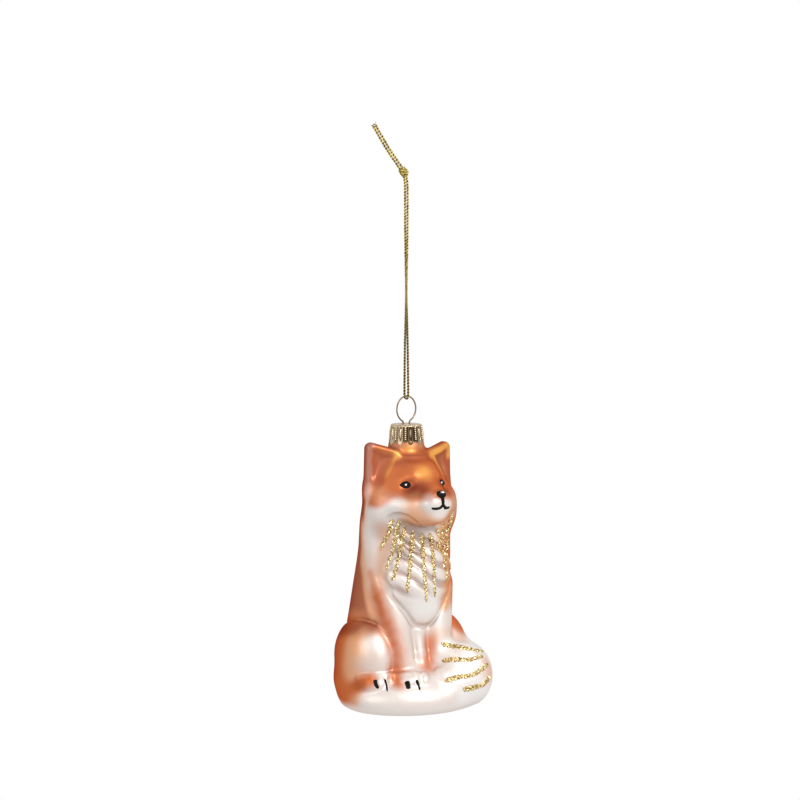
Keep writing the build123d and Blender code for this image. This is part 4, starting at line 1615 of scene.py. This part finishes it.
def yarn_object(name, parts, material):
    """Object of twisted yarn with its thread directions kept for the material."""
    points, faces = gathered([part[:2] for part in parts])
    outward = [value for part in parts for value in part[2]]
    thread = [value for part in parts for value in part[3]]
    made = mesh_object(name, points, faces, material)
    keep_values(made, "outward", outward)
    layer = made.data.uv_layers.new(name="thread")
    for loop in made.data.loops:
        layer.data[loop.index].uv = thread[loop.vertex_index]
    faces_out(made)
    return made


# Route of the cord in metres, from the fold in the wire ring to the cut ends.
FOLD = (0.0, 0.0, -0.08345)
FOLD_SIDE = (-0.000165, 0.0009356)
LOOP_DROP = 0.0825
STRAND = [
    (0.002, 0.00100, 104.0),
    (0.007, 0.00074, 122.0),
    (0.015, 0.00060, 148.0),
    (0.022, 0.00057, 180.0),
    (0.034, 0.00054, 220.0),
    (0.048, 0.00054, 260.0),
    (0.060, 0.00054, 294.0),
    (0.072, 0.00053, 304.0),
    (0.083, 0.00052, 310.0),
]
LEAN_TURN = math.radians(147.0)
FIRST_TILT = math.radians(35.0)
SECOND_TILT = math.radians(29.0)
LEAN = Vector((math.cos(LEAN_TURN), math.sin(LEAN_TURN), 0.0))
UPWARD = Vector((0.0, 0.0, 1.0))
KNOT_CENTRE = LEAN * 0.001 + UPWARD * 0.0024
END_FIRST = LEAN * math.sin(FIRST_TILT) + UPWARD * math.cos(FIRST_TILT)
END_SECOND = LEAN * math.sin(SECOND_TILT) + UPWARD * math.cos(SECOND_TILT)
END_BESIDE = LEAN * math.cos(FIRST_TILT) - UPWARD * math.sin(FIRST_TILT)
END_START = 0.0019
END_SPACING = 0.00052
END_HALF = 0.00975
KNOT_TURNS = 1.7
KNOT_POINTS = 90
KNOT_LENGTH = 0.0033
KNOT_TUCK = 0.35


def cord_route(side):
    """Control points of one half of the cord."""
    route = [Vector(FOLD), Vector((side * FOLD_SIDE[0], side * FOLD_SIDE[1], FOLD[2]))]
    for height, spread_out, turn in STRAND:
        a = math.radians(turn)
        route.append(
            Vector((side * spread_out * math.cos(a), side * spread_out * math.sin(a), height - LOOP_DROP))
        )
    start = KNOT_CENTRE + END_FIRST * END_START - END_BESIDE * (side * END_SPACING)
    middle = start + END_FIRST * END_HALF
    return route + [start, middle, middle + END_SECOND * END_HALF]


def knot_line(yarn, start):
    """Line of one cord wound round the knot."""
    points = []
    for i in range(KNOT_POINTS):
        t = i / (KNOT_POINTS - 1)
        a = 2.0 * math.pi * KNOT_TURNS * t + start
        tuck = math.sin(math.pi * min(1.0, t)) ** KNOT_TUCK
        radius = yarn.knot_radius * (0.45 + 0.55 * tuck)
        across = END_BESIDE * math.cos(a) + END_FIRST.cross(END_BESIDE) * math.sin(a)
        points.append(KNOT_CENTRE + across * radius + END_FIRST * (KNOT_LENGTH * (t - 0.5)))
    return points


def length_of(name, description, default):
    """Setting in metres."""
    return FloatProperty(name=name, description=description, default=default, unit="LENGTH")


def angle_of(name, description, degrees):
    """Setting of an angle, given in degrees."""
    return FloatProperty(name=name, description=description, default=math.radians(degrees), subtype="ANGLE")


def number_of(name, description, default):
    """Setting without a unit."""
    return FloatProperty(name=name, description=description, default=default)


def colour_of(name, description, default):
    """Setting of a colour."""
    return FloatVectorProperty(name=name, description=description, default=default, subtype="COLOR")


class FoxForm(bpy.types.PropertyGroup):
    """Sizes of the blown fox."""

    pitch: length_of("Mesh pitch", "Distance between mesh points", 0.00055)
    head_turn: angle_of("Head turn", "Turn of the head to the fox's right", 3.0)
    fur_depth: length_of("Fur depth", "Relief of the chest fur", 0.001)


class FoxPaint(bpy.types.PropertyGroup):
    """Colours sprayed on the fox."""

    fox_orange: colour_of("Fox orange", "Lacquer on head and back", (0.61, 0.171, 0.061))
    fox_brown: colour_of("Red brown", "Thick lacquer on the back", (0.37, 0.092, 0.046))
    # Dark lacquer on the bridge, legs and feet, and painted shade over the haunch and in the far ear.
    umber_and_shade: colour_of("Umber", "Darkest lacquer, on bridge and haunch", (0.26, 0.050, 0.022))
    tan: colour_of("Tan", "Thin orange lacquer where it fades out", (0.72, 0.36, 0.19))
    # Painted highlights on the brow, the ears and the collar.
    golden_highlight: colour_of("Golden", "Golden lacquer on the brow", (0.92, 0.45, 0.11))
    # Pink tinge of the pearl, and painted highlights down the head's side and on the near ear's rim.
    blush_and_highlight: colour_of("Blush", "Pink tinge of the pearl lacquer", (0.77, 0.62, 0.55))
    # Painted shade in the creases, under the cheek and between the legs.
    painted_shade: colour_of("Toner", "Grey-brown shade in the creases", (0.40, 0.30, 0.26))
    # Bare silvered neck, and painted grey shade on the cheeks, the muzzle and the haunch.
    silver_and_grey_shade: colour_of("Silver", "Bare silvered neck", (0.62, 0.61, 0.59))
    # White on the tail and the bib, and a painted highlight on the haunch.
    snow_and_highlight: colour_of("Snow", "Clean white on the tail", (0.87, 0.845, 0.82))
    # Painted shade in the chest fur and under the cheek.
    mauve_shade: colour_of("Mauve", "Thin shade in the chest fur", (0.47, 0.355, 0.315))
    pearl: colour_of("Pearl", "White lacquer on face, chest and tail", (0.80, 0.735, 0.69))


class EnamelLook(bpy.types.PropertyGroup):
    """Hand-painted enamel."""

    black: colour_of("Black", "Eyes, nose, mouth and claws", (0.010, 0.009, 0.009))
    # White enamel, used only for painted highlights.
    white: colour_of("White", "Light spots", (0.86, 0.86, 0.85))
    height: length_of("Height", "How far the enamel stands up", 0.0003)


class GlitterLook(bpy.types.PropertyGroup):
    """Glitter glued on the chest and tail."""

    top_width: number_of("Upper half width", "Half width where a line starts, in millimetres", 1.05)
    end_width: number_of("Lower half width", "Half width where a line ends, in millimetres", 0.5)
    tail_width: number_of("Tail half width", "Half width of the tail's lines, in millimetres", 1.05)
    glue_share: number_of("Glue share", "Width of the glue within its flakes", 0.72)
    height: length_of("Height", "How far the glue stands up", 0.0004)
    flake: length_of("Flake size", "Radius of the largest flake", 0.00056)
    density: number_of("Density", "Flakes per square metre of glue", 5.5e6)
    seed: IntProperty(name="Seed", description="Order of the flakes", default=4)
    dark: colour_of("Dark", "Flakes turned away", (0.16, 0.095, 0.02))
    middle: colour_of("Middle", "Most flakes", (0.62, 0.43, 0.14))
    bright: colour_of("Bright", "Bright flakes", (0.93, 0.75, 0.38))
    spark: colour_of("Spark", "Sparkling flakes", (1.0, 0.94, 0.74))


class CapShape(bpy.types.PropertyGroup):
    """Stamped cap and its wire."""

    top_radius: length_of("Top radius", "At the shoulder", 0.0062)
    skirt_radius: length_of("Skirt radius", "At the lower edge", 0.00705)
    wall: length_of("Wall", "Thickness of the metal", 0.0004)
    scallops: IntProperty(name="Scallops", description="Round the lower edge", default=10)
    scallop_depth: length_of("Scallop depth", "Depth of the notches", 0.0014)
    hole_radius: length_of("Hole radius", "Holes for the wire", 0.0005)
    leg_spacing: length_of("Leg spacing", "Between the wire's legs", 0.0032)
    turn: angle_of("Turn", "Turn of the wire ring", 10.0)
    # Painted dark reflection on one side of the cap.
    dark_reflection: number_of("Reflection", "Darkening of the worn side", 0.4)
    metal: colour_of("Metal", "Champagne gold", (0.44, 0.335, 0.22))
    edge: colour_of("Edge", "Polished high spots", (0.76, 0.64, 0.44))
    shadow: colour_of("Shadow", "Worn metal", (0.17, 0.11, 0.055))
    groove: colour_of("Groove", "Dark recesses", (0.03, 0.018, 0.01))
    wire: colour_of("Wire", "Drawn wire", (0.27, 0.20, 0.12))


class YarnLook(bpy.types.PropertyGroup):
    """Twisted cord."""

    diameter: length_of("Diameter", "Of the whole cord", 0.001)
    half_length: length_of("Half length", "From the fold to a cut end", 0.108)
    lay: length_of("Lay", "Length of one twist", 0.0023)
    ply_radius: length_of("Ply radius", "Of one ply", 0.00027)
    offset: length_of("Ply offset", "From the cord's middle to a ply's", 0.00024)
    knot_radius: length_of("Knot radius", "To the middle of the wound cord", 0.0013)
    gold: colour_of("Gold", "Metallic yarn", (0.92, 0.68, 0.12))
    # Painted highlight on the plies' outsides and painted shade between them.
    bright: colour_of("Bright", "Outside of the plies", (1.0, 0.88, 0.34))
    dark: colour_of("Dark", "Between the plies", (0.34, 0.23, 0.03))


class StageLook(bpy.types.PropertyGroup):
    """Camera, lamps and floor."""

    azimuth: angle_of("Camera azimuth", "Angle round the fox", -33.0)
    elevation: angle_of("Camera elevation", "Angle above level", 4.5)
    distance: length_of("Camera distance", "From camera to fox", 1.1)
    field: length_of("Field", "Width of the view at the fox", 0.304)
    aim_side: length_of("Aim to the side", "Aim beside the neck's axis", -0.002394)
    aim_height: length_of("Aim height", "Height that the camera aims at", -0.084)
    floor_height: length_of("Floor height", "Floor under the hanging fox", -0.36)
    ambient: number_of("Ambient", "Strength of the light from all round", 0.36)
    key_power: number_of("Key lamp", "Power of the key lamp in watts", 9.0)
    fill_power: number_of("Fill lamp", "Power of the fill lamp in watts", 2.0)


SENSOR_WIDTH = 36.0
CLIP_RANGE = (0.01, 50.0)
FLOOR_SIDES = 96
FLOOR_REACH = 6.0
LAMP_HEIGHT = Vector((0.0, 0.0, -0.12))
LAMP_AIM = Vector((0.0, 0.0, -0.14))
# Lamps: name, metres to the right, towards the camera and up, size in metres and the setting of the power.
LAMPS = [
    ("key", 0.55, 0.75, 0.55, 0.5, "key_power"),
    ("fill", -0.8, 0.7, 0.2, 0.7, "fill_power"),
]


class FOX_OT_stage(bpy.types.Operator):
    """Sets the floor, the lamps and the camera"""

    bl_idname = "fox.stage"
    bl_label = "Set the stage"

    def execute(self, context):
        look = context.scene.fox_stage
        scene = context.scene
        back, right, _, aim = view_axes(look)
        data = bpy.data.cameras.new("view")
        data.sensor_width = SENSOR_WIDTH
        data.lens = data.sensor_width * look.distance / look.field
        camera = bpy.data.objects.new("view", data)
        scene.collection.objects.link(camera)
        camera.location = aim + back * look.distance
        camera.rotation_mode = "QUATERNION"
        camera.rotation_quaternion = (-back).to_track_quat("-Z", "Y")
        data.clip_start, data.clip_end = CLIP_RANGE
        scene.camera = camera
        scene.view_settings.view_transform = "Standard"

        world = bpy.data.worlds.new("studio")
        scene.world = world
        world.use_nodes = True
        nodes, links = world.node_tree.nodes, world.node_tree.links
        nodes.clear()
        output = nodes.new("ShaderNodeOutputWorld")
        light = nodes.new("ShaderNodeBackground")
        light.inputs["Strength"].default_value = look.ambient
        seen = nodes.new("ShaderNodeBackground")
        seen.inputs["Strength"].default_value = 1.0
        for shade in (light, seen):
            shade.inputs["Color"].default_value = (1.0, 1.0, 1.0, 1.0)
        mix = nodes.new("ShaderNodeMixShader")
        links.new(white_rays(nodes, links), mix.inputs[0])
        links.new(light.outputs[0], mix.inputs[1])
        links.new(seen.outputs[0], mix.inputs[2])
        links.new(mix.outputs[0], output.inputs[0])

        rim = [(*on_circle(FLOOR_REACH, k / FLOOR_SIDES), look.floor_height) for k in range(FLOOR_SIDES)]
        floor = mesh_object("floor", rim, [tuple(range(FLOOR_SIDES))], floor_material(), smooth=False)

        for name, beside, towards, above, size, power in LAMPS:
            lamp = bpy.data.lights.new(name, "AREA")
            lamp.shape = "DISK"
            lamp.size = size
            lamp.energy = getattr(look, power)
            made = bpy.data.objects.new(name, lamp)
            scene.collection.objects.link(made)
            place = right * beside + back * towards + Vector((0.0, 0.0, above))
            made.location = place + LAMP_HEIGHT
            made.rotation_mode = "QUATERNION"
            made.rotation_quaternion = (LAMP_AIM - made.location).to_track_quat("-Z", "Y")
        return {"FINISHED"}


class FOX_OT_glass(bpy.types.Operator):
    """Blows the fox and sprays its colours, painted light and shade among them"""

    bl_idname = "fox.glass"
    bl_label = "Blow the glass fox"

    def execute(self, context):
        settings, paint = context.scene.fox_form, context.scene.fox_paint
        points, faces = carve_fox(settings)
        placed = points.copy()
        placed[:, 2] += UNDERSIDE
        fox = mesh_object("glass_fox", placed * MM, faces, lacquer_material())
        slope = slope_of(lambda p: fox_form(p, settings), points)[1]
        slope = slope / np.maximum(np.linalg.norm(slope, axis=1), 1e-6)[:, None]
        away = (points + SHADE_REACH * slope).T.astype(np.float32)
        shade = np.clip(1.0 - fox_form(away, settings) / SHADE_REACH, 0.0, 1.0)
        colour = paint_fox(points.T.astype(np.float32), shade, settings, paint)
        layer = fox.data.color_attributes.new("sprayed_colour", "FLOAT_COLOR", "POINT")
        full = np.ones((len(points), 4), np.float32)
        full[:, :3] = colour
        layer.data.foreach_set("color", full.ravel())
        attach(fox, "glass")
        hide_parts("glass_body")
        return {"FINISHED"}


class FOX_OT_enamel(bpy.types.Operator):
    """Paints the eyes, nose, mouth and claws in enamel, with painted highlights in white enamel"""

    bl_idname = "fox.enamel"
    bl_label = "Paint the enamel"

    def execute(self, context):
        look = context.scene.fox_enamel
        seen = Seen(bpy.data.objects["glass_fox"], context.scene.fox_stage, context.scene.fox_form)
        black = [painted_patch(at, EYE, look.height) for at in (seen.at, seen.opposite)]
        black.append(painted_patch(seen.ahead, NOSE, look.height))
        black += [painted_line(seen.at, line, widths, look.height * 0.7) for line, widths in MOUTH + CLAWS]
        black.append(painted_line(seen.opposite, *FAR_MOUTH, look.height * 0.7))
        # Painted highlights in white enamel on both eyes, the nose and beside the claws.
        white = [painted_patch(at, EYE_HIGHLIGHT, look.height * 1.45, 16, 3) for at in (seen.at, seen.opposite)]
        white.append(painted_patch(seen.at, NOSE_HIGHLIGHT, look.height * 1.45, 16, 3))
        white += [painted_line(seen.at, line, widths, look.height * 0.8, 12) for line, widths in CLAW_HIGHLIGHTS]
        for name, parts, colour in (
            ("black_enamel", black, look.black),
            ("white_enamel", white, look.white),
        ):
            made = mesh_object(name, *gathered(parts), enamel_material(name, tuple(colour)))
            faces_out(made)
            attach(made, "glass")
        return {"FINISHED"}


class FOX_OT_glitter(bpy.types.Operator):
    """Glues glitter lines on the chest and the tail"""

    bl_idname = "fox.glitter"
    bl_label = "Glue the glitter"

    def execute(self, context):
        look = context.scene.fox_glitter
        seen = Seen(bpy.data.objects["glass_fox"], context.scene.fox_stage, context.scene.fox_form)
        strips = []
        for share in (look.glue_share, 1.0):
            widths = (look.top_width * share, look.end_width * share)
            even = (look.tail_width * share, look.tail_width * 0.8 * share)
            lines = []
            for at, group, half in (
                (seen.at, CHEST_LINES, widths),
                (seen.around, FAR_CHEST_LINES, widths),
                (seen.at, TAIL_LINES, even),
            ):
                lines += [painted_line(at, line, half, look.height * share, 40, 8, 0.5) for line in group]
            strips.append(gathered(lines))
        glue = mesh_object("glitter_glue", *strips[0], glue_material(look))
        faces_out(glue)
        flakes = mesh_object("glitter_flakes", *strips[1], None)
        faces_out(flakes)
        grow(
            flakes,
            flake_group(),
            {
                "Density": look.density,
                "Flake size": look.flake,
                "Seed": look.seed,
                "Material": flake_material(look),
            },
        )
        for made in (glue, flakes):
            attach(made, "glass")
        return {"FINISHED"}


class FOX_OT_cap(bpy.types.Operator):
    """Stamps the scalloped cap and sets its bead columns"""

    bl_idname = "fox.cap"
    bl_label = "Stamp the cap"

    def execute(self, context):
        shape = context.scene.fox_cap
        metal = cap_material(shape)
        points, faces, heights, upper, lower, count = stamped_cap(shape)
        cap = mesh_object("stamped_cap", points, faces, metal)
        half = shape.leg_spacing / 2.0
        holes = [(s * half * math.cos(shape.turn), s * half * math.sin(shape.turn)) for s in (-1, 1)]
        mesh = bmesh.new()
        mesh.from_mesh(cap.data)
        cap_top(mesh, upper, lower, count, holes, shape.hole_radius)
        bmesh.ops.recalc_face_normals(mesh, faces=mesh.faces)
        mesh.to_mesh(cap.data)
        mesh.free()
        extra = len(cap.data.vertices) - len(heights)
        keep_values(cap, "stamped_height", heights + [0.6] * extra)
        cap.data.polygons.foreach_set("use_smooth", [True] * len(cap.data.polygons))

        spots = []
        for index in range(shape.scallops):
            for row in range(BEAD_ROWS):
                t = BEAD_START + BEAD_RUN * row / (BEAD_ROWS - 1)
                radius = shape.skirt_radius + (shape.top_radius - shape.skirt_radius) * t - BEAD_INSET
                place = on_circle(radius, (index + 0.5) / shape.scallops)
                spots.append((*place, CAP_LOW.z + (CAP_HIGH.z - CAP_LOW.z) * t))
        beads = mesh_object("cap_beads", spots, [], None)
        grow(beads, bead_group(), {"Bead radius": BEAD_RADIUS, "Material": metal}, smooth=True)
        for made in (cap, beads):
            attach(made, "cap")
        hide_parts("cap")
        return {"FINISHED"}


class FOX_OT_wire(bpy.types.Operator):
    """Finishes the bent wire hanger"""

    bl_idname = "fox.wire"
    bl_label = "Finish the wire"

    def execute(self, context):
        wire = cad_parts["wire_hanger"]
        finish = wire_material(context.scene.fox_cap)
        for place in wire.material_slots:
            place.material = finish
        return {"FINISHED"}


class FOX_OT_cord(bpy.types.Operator):
    """Twists the cord, folds it through the wire and ties its knot"""

    bl_idname = "fox.cord"
    bl_label = "Tie the cord"

    def execute(self, context):
        yarn = context.scene.fox_yarn
        finish = cord_material(yarn)
        wound = [twisted(knot_line(yarn, start), yarn) for start in (0.6, 0.6 + math.pi)]
        knot = yarn_object("tied_knot", wound, finish)
        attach(knot, "cord_top")
        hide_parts("cord_knot")
        for name, side, end in (
            ("cord_half_front", 1, "cord_end_right"),
            ("cord_half_back", -1, "cord_end_left"),
        ):
            line = route_line(name + "_route", cord_route(side))
            half = yarn_object(name, [twisted(line, yarn, flare=0.7)], finish)
            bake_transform(half)
            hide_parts("cord_loop", end)
        return {"FINISHED"}


class FOX_PT_panel(bpy.types.Panel):
    """Steps and settings of the hanging fox"""

    bl_idname = "FOX_PT_panel"
    bl_label = "Glass fox"
    bl_space_type = "VIEW_3D"
    bl_region_type = "UI"
    bl_category = "Glass fox"

    def draw(self, context):
        layout = self.layout
        for step in STEPS:
            layout.operator(step.bl_idname)
        for name, kind in SETTINGS:
            box = layout.box()
            box.label(text=kind.__doc__)
            for entry in kind.__annotations__:
                box.prop(getattr(context.scene, name), entry)


STEPS = (FOX_OT_stage, FOX_OT_glass, FOX_OT_enamel, FOX_OT_glitter, FOX_OT_cap, FOX_OT_wire, FOX_OT_cord)
SETTINGS = (
    ("fox_form", FoxForm),
    ("fox_paint", FoxPaint),
    ("fox_enamel", EnamelLook),
    ("fox_glitter", GlitterLook),
    ("fox_cap", CapShape),
    ("fox_yarn", YarnLook),
    ("fox_stage", StageLook),
)
CLASSES = tuple(kind for name, kind in SETTINGS) + STEPS + (FOX_PT_panel,)


def register():
    for item in CLASSES:
        bpy.utils.register_class(item)
    for name, kind in SETTINGS:
        setattr(bpy.types.Scene, name, PointerProperty(type=kind))


def unregister():
    for name, kind in SETTINGS:
        delattr(bpy.types.Scene, name)
    for item in reversed(CLASSES):
        bpy.utils.unregister_class(item)


def main():
    register()
    bpy.ops.fox.stage()
    bpy.ops.fox.glass()
    bpy.ops.fox.enamel()
    bpy.ops.fox.glitter()
    bpy.ops.fox.cap()
    bpy.ops.fox.wire()
    bpy.ops.fox.cord()


if __name__ == "__main__":
    main()
